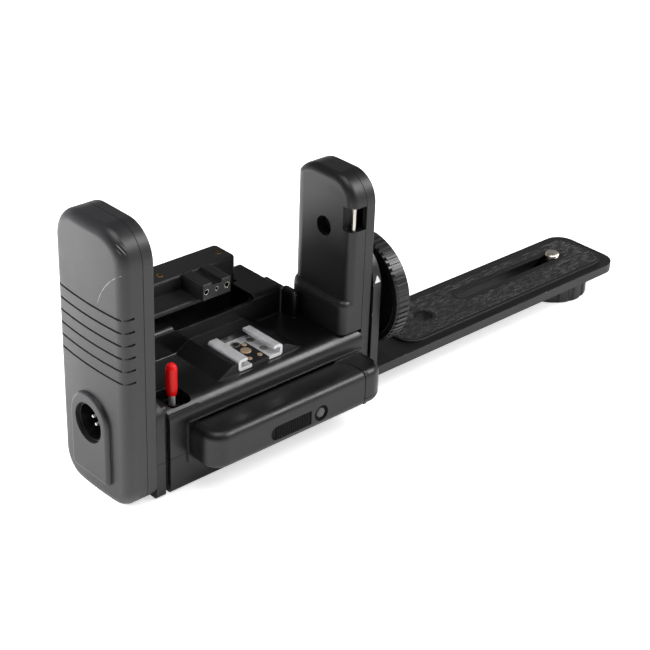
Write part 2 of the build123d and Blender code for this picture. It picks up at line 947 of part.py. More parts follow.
def hot_shoe():
    """Folded sheet shoe: two channel-shaped rails joined by a floor behind the contact plate."""
    floor_plate, contact_plate_top, rail_under = shoe_levels()
    outer = shoe_slot_width / 2 + shoe_sheet
    inner = shoe_slot_width / 2
    mouth = shoe_mouth_width / 2
    rail_top = rail_under + shoe_sheet
    half = [(0, shoe_bed), (outer, shoe_bed), (outer, rail_top), (mouth, rail_top),
            (mouth, rail_under), (inner, rail_under), (inner, floor_plate), (0, floor_plate)]
    radii = [0, shoe_sheet, shoe_sheet, 0, 0, 0, 0, 0]
    right = prism("y", half, radii, shoe_front, shoe_back)
    right -= block((shoe_slit_x, shoe_slit_x + shoe_slit_width),
                   (shoe_slit_front, shoe_slit_front + shoe_slit_length),
                   (floor_plate - shoe_slit_depth, floor_plate + touch))
    shoe = right + mirror(right, about=Plane.YZ)
    window = contact_plate_half + running_fit
    shoe -= block((-window, window), (shoe_front - overrun, contact_plate_back + running_fit),
                  (shoe_bed - overrun, floor_plate + touch))
    shoe -= rod("z", 0, lock_hole_y, lock_hole_radius + lock_ring_width + running_fit,
                shoe_bed - overrun, floor_plate + touch)
    for x, y in shoe_screw_places():
        shoe -= rod("z", x, y, shoe_screw_radius + running_fit, shoe_bed - overrun, floor_plate)
        shoe -= rod("z", x, y, shoe_screw_head_radius + running_fit,
                    floor_plate - shoe_screw_head_height, floor_plate + touch)
    return shoe


def contact_places():
    """X, Y and radius of the large contact and the small ones."""
    return [(0, main_contact_y, main_contact_radius)] + [
        (x, y, side_contact_radius) for x, y in side_contact_places]


def shoe_screw_places():
    return [(side * shoe_screw_x, y) for side in (-1, 1) for y in shoe_screw_places_y]


def shoe_contact_plate():
    """Insulating plate between the rails, holed for the contacts and cut round the lock ring."""
    top = shoe_levels()[1]
    plate = block((-contact_plate_half, contact_plate_half), (shoe_front, contact_plate_back),
                  (shoe_bed, top))
    for x, y, radius in contact_places():
        plate -= rod("z", x, y, radius + running_fit, shoe_bed - overrun, top + overrun)
    return plate - rod("z", 0, lock_hole_y, lock_hole_radius + lock_ring_width + running_fit,
                       shoe_bed - overrun, top + overrun)


def lock_ring():
    """Metal ring round the hole for a flash's locking pin."""
    return tube("z", 0, lock_hole_y, lock_hole_radius + lock_ring_width, lock_hole_radius,
                shoe_bed, shoe_levels()[1] + lock_ring_proud)


def contact_foot():
    """Level of a contact's lower end at rest."""
    return shoe_levels()[0] - contact_stem


def shoe_contact(x, y, radius):
    """Sprung contact: a stem that sinks into the plinth, with a softened head."""
    head = shoe_levels()[1] + contact_proud
    stem = rod("z", x, y, radius, contact_foot(), head)
    return fillet(edges_at(stem, z=head), contact_edge)


def shoe_screws():
    """Four countersunk screws that hold the shoe's floor to the plinth."""
    screws = []
    for x, y in shoe_screw_places():
        top = shoe_levels()[0] - thin_fit
        low = top - shoe_screw_length
        screws.append(rod("z", x, y, shoe_screw_radius, low, top)
                      + rod("z", x, y, shoe_screw_head_radius, shoe_levels()[0]
                            - shoe_screw_head_height, top))
    return screws


# Terminal box and connector

def terminal_box():
    """Open-bottomed cover over the terminals, with a shelf in front that carries the connector."""
    outer = tile("z", (-box_half_width, box_half_width), (box_front, base_back + box_overhang),
                 box_corner_radius, well_floor, box_top)
    outer = fillet(edges_at(outer, z=box_top), box_edge)
    shelf = block((shelf_left, connector_right), (step_front, box_front + box_wall),
                  (step_top - box_wall, step_top))
    shelf = fillet(edges_at(shelf, y=step_front, z=step_top), soft_edge)
    hollow = block((-box_half_width + box_wall, box_half_width - box_wall),
                   (box_front + box_wall, base_back + box_overhang - box_wall),
                   (well_floor - overrun, box_top - box_wall))
    box = outer - hollow + shelf
    for x, y in box_screw_places:
        box += rod("z", x, y, box_boss_radius, well_floor, box_top - box_wall + touch)
        box -= rod("z", x, y, box_screw_radius, box_top - box_screw_length - overrun, box_top + overrun)
        box -= rod("z", x, y, box_screw_head_radius + running_fit, box_top - box_screw_head_height,
                   box_top + overrun)
    return box


def box_screws():
    """Two brass cross-head screws, sunk level with the box's top."""
    screws = []
    for x, y in box_screw_places:
        head = box_top - box_screw_head_height
        screws.append(rod("z", x, y, box_screw_head_radius, head, box_top - touch)
                      + rod("z", x, y, box_screw_radius, box_top - box_screw_length, head))
    return screws


def sleeve_places():
    """X, and outer radius, of the three sockets in the connector's front."""
    middle = (connector_left + connector_right) / 2
    return [(middle - sleeve_spacing, sleeve_radius), (middle, middle_sleeve_radius),
            (middle + sleeve_spacing, sleeve_radius)]


def connector_block():
    """Socket block on the step: two ribs with a channel between, and three holes in front."""
    body = block((connector_left, connector_right), (connector_front, box_front),
                 (connector_bottom, connector_top))
    body = fillet(edges_at(body, z=connector_top), connector_edge)
    body -= block((connector_left + connector_rib_width, connector_right - connector_rib_width),
                  (connector_front - overrun, box_front + overrun),
                  (connector_top - connector_channel_depth, connector_top + overrun))
    for x, radius in sleeve_places():
        body -= rod("y", x, sleeve_height, radius, connector_front - overrun,
                    connector_front + sleeve_length)
    return body


def connector_sleeves():
    """Metal contact sleeves pressed into the connector's holes."""
    return [tube("y", x, sleeve_height, radius, radius - sleeve_wall, connector_front + thin_fit,
                 connector_front + sleeve_length) for x, radius in sleeve_places()]


# Toggle switch

def toggle_floor():
    return floor_top - pocket_depth


def toggle_body_top():
    return toggle_floor() - pocket_wall - face_gap


def toggle_mouth():
    """Space in the toggle's neck that lets the lever swing about its ball."""
    pivot = toggle_pivot()
    top = toggle_floor() + toggle_thread_height
    slope = sin(radians(lever_swing)) / cos(radians(lever_swing))
    root = lever_radius / cos(radians(lever_swing)) + running_fit
    cone = Solid.make_cone(root, root + (top + overrun - pivot) * slope, top + overrun - pivot,
                           Plane(origin=(toggle_x, toggle_y, pivot)))
    ball = Pos(toggle_x, toggle_y, pivot) * Sphere(lever_ball_radius + running_fit)
    return cone + ball


def toggle_pivot():
    """Level of the lever's ball."""
    return toggle_body_top() - seat_gap


def toggle_body():
    """Switch case with its threaded neck and solder pins."""
    top = toggle_body_top()
    half_x = toggle_body_width / 2
    half_y = toggle_body_depth / 2
    case = block((toggle_x - half_x, toggle_x + half_x), (toggle_y - half_y + toggle_body_shift,
                 toggle_y + half_y + toggle_body_shift), (top - toggle_body_height, top))
    case += rod("z", toggle_x, toggle_y, toggle_thread_radius, top - touch,
                toggle_floor() + toggle_thread_height)
    for index in range(toggle_pin_count):
        y = toggle_y + toggle_body_shift + (index - (toggle_pin_count - 1) / 2) * toggle_pin_pitch
        case += block((toggle_x - toggle_pin_width / 2, toggle_x + toggle_pin_width / 2),
                      (y - toggle_pin_width / 2, y + toggle_pin_width / 2),
                      (top - toggle_body_height - toggle_pin_length, top - toggle_body_height + touch))
    return case - toggle_mouth()


def toggle_nut():
    """Thin hexagon nut that holds the switch to the pocket's floor."""
    low = toggle_floor()
    hexagon = Plane(origin=(toggle_x, toggle_y, low)) * RegularPolygon(
        toggle_nut_across / 2, side_count=6, major_radius=False)
    nut = extrude(hexagon, amount=toggle_nut_height)
    return nut - rod("z", toggle_x, toggle_y, toggle_thread_radius + running_fit, low - overrun,
                     low + toggle_nut_height + overrun)


def toggle_lever():
    """Metal bat lever on its ball."""
    pivot = toggle_pivot()
    ball = Pos(toggle_x, toggle_y, pivot) * Sphere(lever_ball_radius)
    return ball + rod("z", toggle_x, toggle_y, lever_radius, pivot, lever_top)


def lever_sleeve():
    """Coloured sleeve pushed over the lever: narrow foot, parallel body and domed end."""
    dome = sleeve_top - sleeve_outer_radius
    neck = sleeve_bottom + sleeve_outer_radius
    centre = (0, dome)
    outline = [Line((0, sleeve_bottom), (sleeve_foot_radius, sleeve_bottom)),
               Line((sleeve_foot_radius, sleeve_bottom), (sleeve_outer_radius, neck)),
               Line((sleeve_outer_radius, neck), (sleeve_outer_radius, dome)),
               CenterArc(centre, sleeve_outer_radius, 0, 90),
               Line((0, sleeve_top), (0, sleeve_bottom))]
    section = make_face(outline)
    plane = Plane(origin=(toggle_x, toggle_y, 0), x_dir=(1, 0, 0), z_dir=(0, -1, 0))
    body = revolve(plane * section, Axis((toggle_x, toggle_y, 0), (0, 0, 1)))
    return body - rod("z", toggle_x, toggle_y, lever_radius, sleeve_bottom - overrun, lever_top)


# Hand grip

def grip_outline(inset):
    """Corners and radii of the grip seen from its side."""
    front = grip_front + inset
    back = grip_back - inset
    corners = [(front, inset), (back, inset), (back, grip_height - inset),
               (front, grip_height - inset)]
    radii = [radius - inset for radius in (grip_front_foot_radius, grip_back_foot_radius,
                                           grip_top_radius, grip_top_radius)]
    return corners, radii


def grip_crown_solid(inset):
    """Upright drum whose side gives the outer face of the grip its gentle crown."""
    half = grip_width / 2
    radius = (half ** 2 + grip_crown ** 2) / (2 * grip_crown)
    return rod("z", grip_left + radius, (grip_front + grip_back) / 2, radius - inset, -overrun,
               grip_height + overrun)


def groove_rings():
    """Six thin grooves round the outer face and both corners of the grip."""
    core = tile("z", (grip_left, grip_seam + overrun), (grip_front + groove_depth,
                grip_back - groove_depth), grip_edge_radius, 0, grip_height)
    core = core & grip_crown_solid(groove_depth)
    rings = []
    for index in range(groove_count):
        z = groove_lowest + index * groove_pitch
        slab = block((grip_left - overrun, grip_left + groove_reach), (grip_front - overrun,
                     grip_back + overrun), (z - groove_width / 2, z + groove_width / 2))
        rings.append(slab - core)
    return rings


def socket_panel():
    """Raised panel with an arched top round the socket, rounded over at its rim."""
    left = panel_centre_y - panel_width / 2
    right = left + panel_width
    corners = [(left, panel_bottom), (right, panel_bottom), (right, panel_top), (left, panel_top)]
    radii = [panel_corner_radius, panel_corner_radius, panel_arch_radius, panel_arch_radius]
    face = grip_left - panel_height
    panel = prism("x", corners, radii, face, grip_left + grip_wall)
    rim = [edge for edge in panel.edges() if edge.bounding_box().max.X < face + touch]
    return fillet(rim, panel_edge)


def grip_outer_shell():
    """Crowned outer half of the grip, with grooves and the socket's raised panel."""
    corners, radii = grip_outline(0)
    shell = prism("x", corners, radii, grip_left, grip_seam) & grip_crown_solid(0)
    rim = [edge for edge in shell.edges() if edge.bounding_box().max.X < grip_seam - overrun]
    shell = fillet(rim, grip_edge_radius)
    corners, radii = grip_outline(grip_wall)
    shell -= prism("x", corners, radii, grip_left + grip_crown + grip_wall, grip_seam + overrun)
    boss = socket_radius + grip_wall
    shell += rod("x", socket_y, socket_height, boss, grip_left + grip_wall, grip_seam)
    for ring in groove_rings():
        shell -= ring
    shell += socket_panel()
    return shell - rod("x", socket_y, socket_height, socket_radius + running_fit,
                       grip_left - panel_height - overrun, grip_seam + overrun)


def grip_inner_shell():
    """Flat inner half of the grip, with bosses for the screws from the base."""
    corners, radii = grip_outline(0)
    shell = prism("x", corners, radii, grip_seam, grip_right)
    shell = fillet(edges_at(shell, x=grip_right), soft_edge)
    corners, radii = grip_outline(grip_wall)
    shell -= prism("x", corners, radii, grip_seam - overrun, grip_right - grip_wall)
    for y in grip_screw_y:
        for z in end_screw_z:
            shell += rod("x", y, z, boss_radius, grip_seam + face_gap, grip_right - grip_wall + touch)
            shell -= rod("x", y, z, screw_shank_radius, grip_seam - overrun, grip_right + overrun)
    return shell


def grip_screws():
    """Four screws through the cheek into the grip."""
    return end_screws(grip_screw_y, base_left + shell_wall, -1, grip_screw_length)


def upright_screws():
    """Four screws through the right-hand wall into the upright."""
    return end_screws(upright_screw_y, base_right - shell_wall, 1, upright_screw_length)


def end_screws(y_places, seat, towards, length):
    """Pan-head screws along X whose heads stand on the inside of an end wall."""
    screws = []
    for y in y_places:
        for z in end_screw_z:
            head = sorted((seat, seat - towards * screw_head_height))
            shank = sorted((seat, seat + towards * length))
            screws.append(rod("x", y, z, screw_head_radius, *head)
                          + rod("x", y, z, screw_shank_radius, *shank))
    return screws


def socket_mouth():
    """Where the socket's cup begins, behind the panel's face."""
    return grip_left - panel_height + socket_sink


def terminal_socket():
    """Round insulating cup sunk in the grip, with a raised boss for the pins."""
    mouth = socket_mouth()
    floor = mouth + socket_depth - socket_floor
    cup = rod("x", socket_y, socket_height, socket_radius, mouth, mouth + socket_depth)
    cup -= rod("x", socket_y, socket_height, socket_radius - socket_wall, mouth - overrun, floor)
    cup += rod("x", socket_y, socket_height, socket_boss_radius, floor - socket_boss_height,
               floor + touch)
    for y, z in pin_places():
        cup -= rod("x", y, z, pin_radius, mouth, mouth + socket_depth + overrun)
    return cup


def pin_places():
    """Ring of contact pins in the socket."""
    step = 2 * pi / pin_count
    return [(socket_y + pin_circle_radius * cos(index * step),
             socket_height + pin_circle_radius * sin(index * step)) for index in range(pin_count)]


def terminal_pins():
    """Contact pins that stand out of the socket's boss."""
    back = socket_mouth() + socket_depth
    return [rod("x", y, z, pin_radius, back - socket_floor - pin_length, back) for y, z in pin_places()]


# Upright

def upright_outline(low, inset, back_inset):
    """Corners and radii of the upright seen from its side, from a level upwards."""
    front = upright_front + inset
    back = upright_back - back_inset
    top = upright_height - inset
    corners = [(front, low), (back, low), (back, top), (front, top)]
    radius = upright_top_radius - inset
    return corners, [0, 0, radius, radius]


def upright_plan(face, back_edge, low, high):
    """Section of the inner half seen from above, rounder at its back edge."""
    corners = [(face, upright_front), (upright_seam, upright_front),
               (upright_seam, upright_back), (face, upright_back)]
    return prism("z", corners, [upright_front_edge, 0, 0, back_edge], low, high)


def upright_foot():
    """Wider foot of the inner half, up to its rounded ledge."""
    foot = upright_plan(foot_inner, foot_back_edge, floor_top, ledge_height)
    lip = [edge for edge in edges_at(foot, z=ledge_height) if (edge @ 0.5).X < upright_seam - touch]
    return fillet(lip, ledge_blend)


def upright_inner_shell():
    """Inner half of the upright: rounded face, wider foot, peg hole and strap notch."""
    corners, radii = upright_outline(floor_top, 0, 0)
    shell = prism("x", corners, radii, upright_inner, upright_seam)
    face_edges = [edge for edge in edges_at(shell, x=upright_inner)
                  if (edge @ 0.5).Z > floor_top + touch]
    shell = fillet(face_edges, upright_front_edge)
    shell = shell & upright_plan(upright_inner, upright_back_edge, floor_top, upright_height)
    shell += upright_foot()
    shell -= upright_inner_hollow()
    boss = peg_hole_radius + peg_boss_wall
    shell += rod("x", peg_hole_y, peg_hole_z, boss, upright_inner + upright_wall - touch,
                 upright_inner + peg_hole_depth + peg_boss_wall)
    shell -= rod("x", peg_hole_y, peg_hole_z, peg_hole_radius, upright_inner - overrun,
                 upright_inner + peg_hole_depth)
    shell += notch_box(upright_inner + upright_wall - touch, upright_front + upright_wall - touch,
                       peg_boss_wall)
    shell -= notch_box(upright_inner - overrun, upright_front - overrun, 0)
    shell -= rod("x", 0, pivot_height, insert_flange_radius + thin_fit,
                 upright_seam - insert_flange - face_gap, upright_seam + overrun)
    return shell - strap_pin_bar(strap_pin_radius + running_fit)


def upright_inner_hollow():
    """Space inside the inner half and its foot."""
    corners, radii = upright_outline(floor_top + upright_wall, upright_wall, upright_hollow_back)
    upper = prism("x", corners, radii, upright_inner + upright_wall, upright_seam + overrun)
    foot = block((foot_inner + upright_wall, upright_seam + overrun),
                 (upright_front + upright_wall, upright_back - foot_hollow_back),
                 (floor_top + upright_wall, ledge_height - upright_wall - upright_wall))
    return upper + foot


def notch_box(left, front, wall):
    """The strap notch, or with a wall the lining behind it."""
    return block((left, upright_seam), (front, upright_front + notch_depth + wall),
                 (notch_bottom - wall, notch_bottom + notch_height + wall))


def strap_pin_bar(radius):
    """Upright bar across the notch, reaching into the moulding at both ends."""
    return rod("z", strap_pin_x, upright_front + strap_pin_inset, radius,
               notch_bottom - strap_pin_socket, notch_bottom + notch_height + strap_pin_socket)


def upright_outer_plate():
    """Outer half of the upright, down to the table, with the bosses for stud and screws."""
    corners, radii = upright_outline(0, 0, 0)
    plate = prism("x", corners, radii, upright_seam, upright_outer)
    plate = fillet(edges_at(plate, x=upright_outer), outer_edge_radius)
    corners, radii = upright_outline(upright_wall, upright_wall, upright_wall)
    plate -= prism("x", corners, radii, upright_seam - overrun, upright_outer - upright_wall)
    bosses = [(0, pivot_height, insert_radius + insert_boss_wall, insert_radius + running_fit,
               insert_length + thin_fit)]
    bosses += [(y, z, boss_radius, screw_shank_radius, upright_screw_length - shell_wall + screw_hole_spare)
               for y in upright_screw_y for z in end_screw_z]
    for y, z, outer, inner, depth in bosses:
        plate += rod("x", y, z, outer, upright_seam, upright_outer - upright_wall + touch)
        plate -= rod("x", y, z, inner, upright_seam - overrun, upright_seam + depth)
    plate -= rod("x", 0, pivot_height, stud_radius + thin_fit, upright_seam, upright_outer + overrun)
    return plate - rod("x", 0, pivot_height, washer_radius + thin_fit,
                       upright_outer - washer_thickness, upright_outer + overrun)


# Pivot of the arm

def threaded_insert():
    """Flanged brass insert that the dial's stud screws into."""
    barrel = rod("x", 0, pivot_height, insert_radius, upright_seam, upright_seam + insert_length)
    flange = rod("x", 0, pivot_height, insert_flange_radius, upright_seam - insert_flange, upright_seam)
    return barrel + flange - rod("x", 0, pivot_height, stud_radius + running_fit,
                                 upright_seam - insert_flange - overrun, upright_outer)


def friction_washer():
    """Fibre washer let into the upright where the arm turns on it."""
    return tube("x", 0, pivot_height, washer_radius, stud_radius + thin_fit,
                upright_outer - washer_thickness, upright_outer)


def ear_left():
    return upright_outer + face_gap


def ear_right():
    return ear_left() + arm_thickness


def dial_left():
    """Where the dial's hub bears on the arm."""
    return ear_right() + face_gap


def dial_web():
    """The two faces of the dial's web, behind and in front."""
    rim_left = dial_left() + dial_hub_length
    return rim_left + dial_back_depth, rim_left + dial_rim_width - dial_face_depth


def lock_dial():
    """Large clamping dial: hub, web and a rim cut with grip ribs."""
    rim_left = dial_left() + dial_hub_length
    rim_right = rim_left + dial_rim_width
    web_back, web_face = dial_web()
    rim_inner = dial_rim_radius - dial_rim_wall
    edge = dial_rim_radius - dial_chamfer
    outline = [(dial_left(), stud_radius), (dial_left(), dial_hub_radius),
               (web_back, dial_hub_radius), (web_back, rim_inner), (rim_left, rim_inner),
               (rim_left, edge), (rim_left + dial_chamfer, dial_rim_radius),
               (rim_right - dial_chamfer, dial_rim_radius), (rim_right, edge),
               (rim_right, rim_inner), (web_face, rim_inner), (web_face, stud_radius)]
    plane = Plane(origin=(0, 0, pivot_height), x_dir=(1, 0, 0), z_dir=(0, -1, 0))
    dial = revolve(plane * make_face(Polyline(*outline, close=True)),
                   Axis((0, 0, pivot_height), (1, 0, 0)))
    dial -= rod("x", 0, pivot_height, dial_cap_radius, web_face - dial_cap_thickness,
                web_face + overrun)
    half = pi * dial_rim_radius / dial_rib_count * dial_rib_share
    cut = block((rim_left - overrun, rim_right + overrun), (-half, half),
                (dial_rim_radius - dial_rib_depth, dial_rim_radius + overrun))
    return dial - turned_copies(cut, dial_rib_count)


def turned_copies(cut, count):
    """Copies of a cut spaced round the dial's axis."""
    return [Pos(0, 0, pivot_height) * Rot(index * full_turn / count, 0, 0) * cut
            for index in range(count)]


def dial_stud():
    """Threaded steel stud fixed in the dial."""
    return rod("x", 0, pivot_height, stud_radius, stud_end, dial_web()[1] - dial_cap_thickness)


def dial_cap():
    """Flush cap over the stud's end."""
    face = dial_web()[1]
    return rod("x", 0, pivot_height, dial_cap_radius, face - dial_cap_thickness, face)


# Arm

def arm_top():
    return arm_bottom + arm_thickness


def l_bracket():
    """Bent plate: a round-topped ear at the pivot and a long slotted arm."""
    ear_top = ear_arc_height + arm_half_width
    corners = [(ear_left(), arm_bottom), (arm_right, arm_bottom), (arm_right, arm_top()),
               (ear_right(), arm_top()), (ear_right(), ear_top), (ear_left(), ear_top)]
    bent = prism("y", corners, [arm_bend_outer, 0, 0, arm_bend_inner, 0, 0],
                 -arm_half_width, arm_half_width)
    front_view = rod("x", 0, ear_arc_height, arm_half_width, ear_left() - overrun, arm_right)
    front_view += block((ear_left() - overrun, arm_right), (-arm_half_width, arm_half_width),
                        (arm_bottom, ear_arc_height))
    plan = tile("z", (ear_left(), arm_right), (-arm_half_width, arm_half_width),
                [0, arm_corner_radius, arm_corner_radius, 0], arm_bottom, ear_top)
    arm = bent & front_view & plan
    arm -= rod("x", 0, pivot_height, stud_radius + running_fit, ear_left() - overrun,
               ear_right() + overrun)
    arm -= rod("z", locating_hole_x, 0, locating_hole_radius, arm_bottom - overrun, arm_top() + overrun)
    return arm - slot_solid(0, arm_bottom - overrun, arm_top() + overrun)


def slot_solid(grow, low, high):
    """Round-ended slot for the camera screw."""
    shape = SlotOverall(slot_right - slot_left + 2 * grow, slot_width + 2 * grow)
    return extrude(Pos((slot_left + slot_right) / 2, slot_y, low) * shape, amount=high - low)


def arm_mat():
    """Thin rubber mat on the arm, cut round the hole and the slot."""
    low = arm_top()
    high = low + mat_thickness
    mat = tile("z", (mat_left, mat_right), (-mat_half_width, mat_half_width), mat_radius, low, high)
    mat = fillet(edges_at(mat, z=high), mat_edge)
    mat -= rod("z", locating_hole_x, 0, locating_hole_radius, low - overrun, high + overrun)
    return mat - slot_solid(seat_gap, low - overrun, high + overrun)


# Camera screw

def slider_bottom():
    return arm_bottom - face_gap - slider_flange


def screw_slider():
    """Washer under the arm whose tongue runs in the slot and carries the camera screw."""
    flange = rod("z", screw_x, slot_y, slider_flange_radius, slider_bottom(), arm_bottom - face_gap)
    shape = SlotOverall(slider_left_reach + slider_right_reach, slot_width - 2 * slide_fit)
    low = arm_bottom - face_gap - touch
    middle = screw_x + (slider_right_reach - slider_left_reach) / 2
    tongue = extrude(Pos(middle, slot_y, low) * shape, amount=arm_bottom + slider_tongue - low)
    return flange + tongue - rod("z", screw_x, slot_y, screw_neck_radius + running_fit,
                                 slider_bottom() - overrun, arm_top())


def camera_screw():
    """Captive screw: a slim neck through slider and mat, and a camera thread above them."""
    thread_low = arm_top() + mat_thickness + thin_fit
    neck = rod("z", screw_x, slot_y, screw_neck_radius, knob_floor, thread_low)
    thread = rod("z", screw_x, slot_y, screw_radius, thread_low, screw_top)
    tip = edges_at(thread, z=screw_top)
    return neck + chamfer(tip, screw_chamfer)


def camera_knob():
    """Fluted knob fixed on the screw's neck."""
    top = slider_bottom() - face_gap
    knob = rod("z", screw_x, slot_y, knob_radius, 0, top)
    knob = fillet(edges_at(knob, z=0) + edges_at(knob, z=top), knob_edge)
    flutes = []
    reach = knob_radius + knob_flute_radius - knob_flute_depth
    for index in range(knob_flute_count):
        angle = 2 * pi * index / knob_flute_count
        flutes.append(rod("z", screw_x + reach * cos(angle), slot_y + reach * sin(angle),
                          knob_flute_radius, -overrun, top + overrun))
    knob -= flutes
    knob -= rod("z", screw_x, slot_y, knob_dish_radius, -overrun, knob_dish_depth)
    return knob - rod("z", screw_x, slot_y, screw_neck_radius, knob_floor, top + overrun)


def one_or_many(shape):
    """A single solid as it is, or a list of separate solids as one group."""
    if isinstance(shape, list):
        return Compound(children=[solid for piece in shape for solid in piece.solids()])
    return shape


nodes = {
    "lower_shell": lower_shell,
    "upper_shell": upper_shell,
    "shell_screws": shell_screws,
    "grip_outer_shell": grip_outer_shell,
    "grip_inner_shell": grip_inner_shell,
    "grip_screws": grip_screws,
    "terminal_socket": terminal_socket,
    "terminal_pins": terminal_pins,
    "battery_cover": battery_cover,
    "front_contacts": front_contacts,
    "lock_button": lock_button,
    "button_spring": button_spring,
    "battery_holder": battery_holder,
    "battery_cells": battery_cells,
    "rear_contacts": rear_contacts,
    "circuit_board": circuit_board,
    "hot_shoe": hot_shoe,
    "shoe_contact_plate": shoe_contact_plate,
    "lock_ring": lock_ring,
    "shoe_screws": shoe_screws,
    "terminal_box": terminal_box,
    "box_screws": box_screws,
    "connector_block": connector_block,
    "connector_sleeves": connector_sleeves,
    "toggle_body": toggle_body,
    "toggle_nut": toggle_nut,
    "toggle_lever": toggle_lever,
    "lever_sleeve": lever_sleeve,
    "upright_inner_shell": upright_inner_shell,
    "upright_outer_plate": upright_outer_plate,
    "upright_screws": upright_screws,
    "strap_pin": lambda: strap_pin_bar(strap_pin_radius),
    "threaded_insert": threaded_insert,
    "friction_washer": friction_washer,
    "l_bracket": l_bracket,
    "arm_mat": arm_mat,
    "lock_dial": lock_dial,
    "dial_stud": dial_stud,
    "dial_cap": dial_cap,
    "screw_slider": screw_slider,
    "camera_screw": camera_screw,
    "camera_knob": camera_knob,
}

os.makedirs("parts", exist_ok=True)
for name, make in nodes.items():
    export_step(one_or_many(make()), f"parts/{name}.step")
contact_names = ["centre_contact", "rear_contact", "front_right_contact", "front_left_contact"]
for name, place in zip(contact_names, contact_places()):
    export_step(shoe_contact(*place), f"parts/{name}.step")
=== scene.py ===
"""Finishes, small fittings and a studio for a camera flash bracket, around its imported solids.

Metres, +X from the hand grip out along the arm, -Y the side the photographer holds, +Z up.
"""

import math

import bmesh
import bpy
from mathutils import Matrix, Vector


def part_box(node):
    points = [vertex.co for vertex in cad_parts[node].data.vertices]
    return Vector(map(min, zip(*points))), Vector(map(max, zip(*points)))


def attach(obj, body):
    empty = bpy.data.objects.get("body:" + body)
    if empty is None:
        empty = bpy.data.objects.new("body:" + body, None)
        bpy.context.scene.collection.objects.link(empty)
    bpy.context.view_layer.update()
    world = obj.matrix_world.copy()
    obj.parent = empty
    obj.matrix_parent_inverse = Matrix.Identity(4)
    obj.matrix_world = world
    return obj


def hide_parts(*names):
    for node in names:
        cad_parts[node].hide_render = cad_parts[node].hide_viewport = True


bl_info = {
    "name": "Flash Bracket Dressing",
    "version": (1, 0, 0),
    "blender": (4, 5, 0),
    "location": "View3D > Sidebar > Bracket",
    "description": "Finishes, small fittings and studio for a camera flash bracket",
    "category": "Object",
}

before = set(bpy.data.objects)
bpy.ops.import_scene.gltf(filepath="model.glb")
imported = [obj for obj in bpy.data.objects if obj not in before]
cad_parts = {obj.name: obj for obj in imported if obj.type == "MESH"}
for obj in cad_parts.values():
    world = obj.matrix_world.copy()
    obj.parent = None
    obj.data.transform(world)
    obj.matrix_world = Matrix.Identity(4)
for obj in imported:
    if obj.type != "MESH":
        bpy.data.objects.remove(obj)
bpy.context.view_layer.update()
MM = 0.001

# Windows of painted shade on mouldings' seams: axis, lowest and highest place, in millimetres
GRIP_SEAM = (("X", -57.44, -57.16),)
UPRIGHT_SEAM = (("X", 47.51, 47.79),)
SHELL_SEAM = (("Z", 14.48, 14.72),)

# Use and dirt: sizes of hand-polished patches, rubs, chips and breaks in a scratch, in millimetres
PATCH_SIZE = 22.0
RUB_SIZE = 6.0
CHIP_SIZE = 1.3
BREAK_SIZE = 1.6
SCRATCH_TONE = "#9a9a9c"
# Near black painted into seams and sunk fields as shade
PAINTED_SHADE_TONE = "#020202"
POLYMER_IOR = 1.52
PVC_IOR = 1.53
# Shares of a moulding's colour: in its hollows, where hands polish it, on the crests of its grain
HOLLOW_SHARE = 0.86
HANDLED_SHARE = 1.16
CREST_SHARE = 1.7
# Draw lines, tarnish, softened edge and relief of a plated sheet, in millimetres. Real lines are
# some hundredths apart, and are drawn as coarse as they need to show
PLATE_LINES = 0.35
PLATE_TARNISH = 4.0
PLATE_EDGE = 0.12
PLATE_RELIEF = 0.002
# Pools of colour, softened edge and relief of a dipped sleeve, in millimetres
DIP_POOL = 3.0
DIP_EDGE = 0.3
DIP_RELIEF = 0.05
# Noise stays between these nearly everywhere
NOISE_SPAN = (0.3, 0.7)
# Cosine between the rounded and the flat normal: where an edge starts and where it is full
EDGE_COSINES = (0.995, 0.80)
EDGE_SAMPLES = 6

# Three strokes at the top of the grip's face: centre, reach on each axis, and lean in degrees
STROKES_CENTRE = (-64.4, -17.4, 104.4)
STROKES_REACH = (1.7, 3.0, 3.4)
STROKES_LEAN = -28.0
# Thin arc on the grip's face: Y and Z of its centre, its radius and half width, and where it ends
HOOK_CENTRE = (-31.9, 70.9)
HOOK_RADIUS = 27.6
HOOK_HALF_WIDTH = 0.11
HOOK_WINDOW = (("X", -70.0, -62.0), ("Y", -19.5, -6.0), ("Z", 80.0, 94.6))
# What X is divided by, so that only Y and Z say where the arc lies
FLATTEN = 1000.0

# Mat on the arm, in millimetres
MAT_TOP = 15.55
MAT_CENTRE_X = 141.25
MAT_HALF = (62.75, 14.0)
MAT_CORNER = 8.0
MAT_BORDER = 1.5
SLOT_ENDS = (126.5, 186.5)
SLOT_Y = 2.96
SLOT_KEEP = 4.6
HOLE_X = 100.4
HOLE_KEEP = 5.0
# Raised squares: half a foot's and a top's diagonal as shares of the pitch, and how far they sink
SQUARE_FOOT = 0.66
SQUARE_TOP = 0.22
SQUARE_SINK = 0.02
# Section of the rim round the slot, as reach from the slot's line and level, in millimetres
LIP_SECTION = [(2.75, 14.6), (2.75, 15.54), (3.85, 15.54), (3.85, 14.6)]
LIP_COUNT = 48

# Camera screw, in millimetres, and the share of a turn that its crest and its root are flat
SCREW_AXIS = (185.95, 2.96)
SCREW_FOOT = 3.0
SCREW_NECK_TOP = 15.65
SCREW_TIP = 17.25
SCREW_NECK_RADIUS = 2.5
SCREW_RADIUS = 3.175
SCREW_ROOT = 2.62
SCREW_CHAMFER = 0.5
THREAD_FLAT = 0.15
THREAD_COUNT = 48
THREAD_STEPS = 60
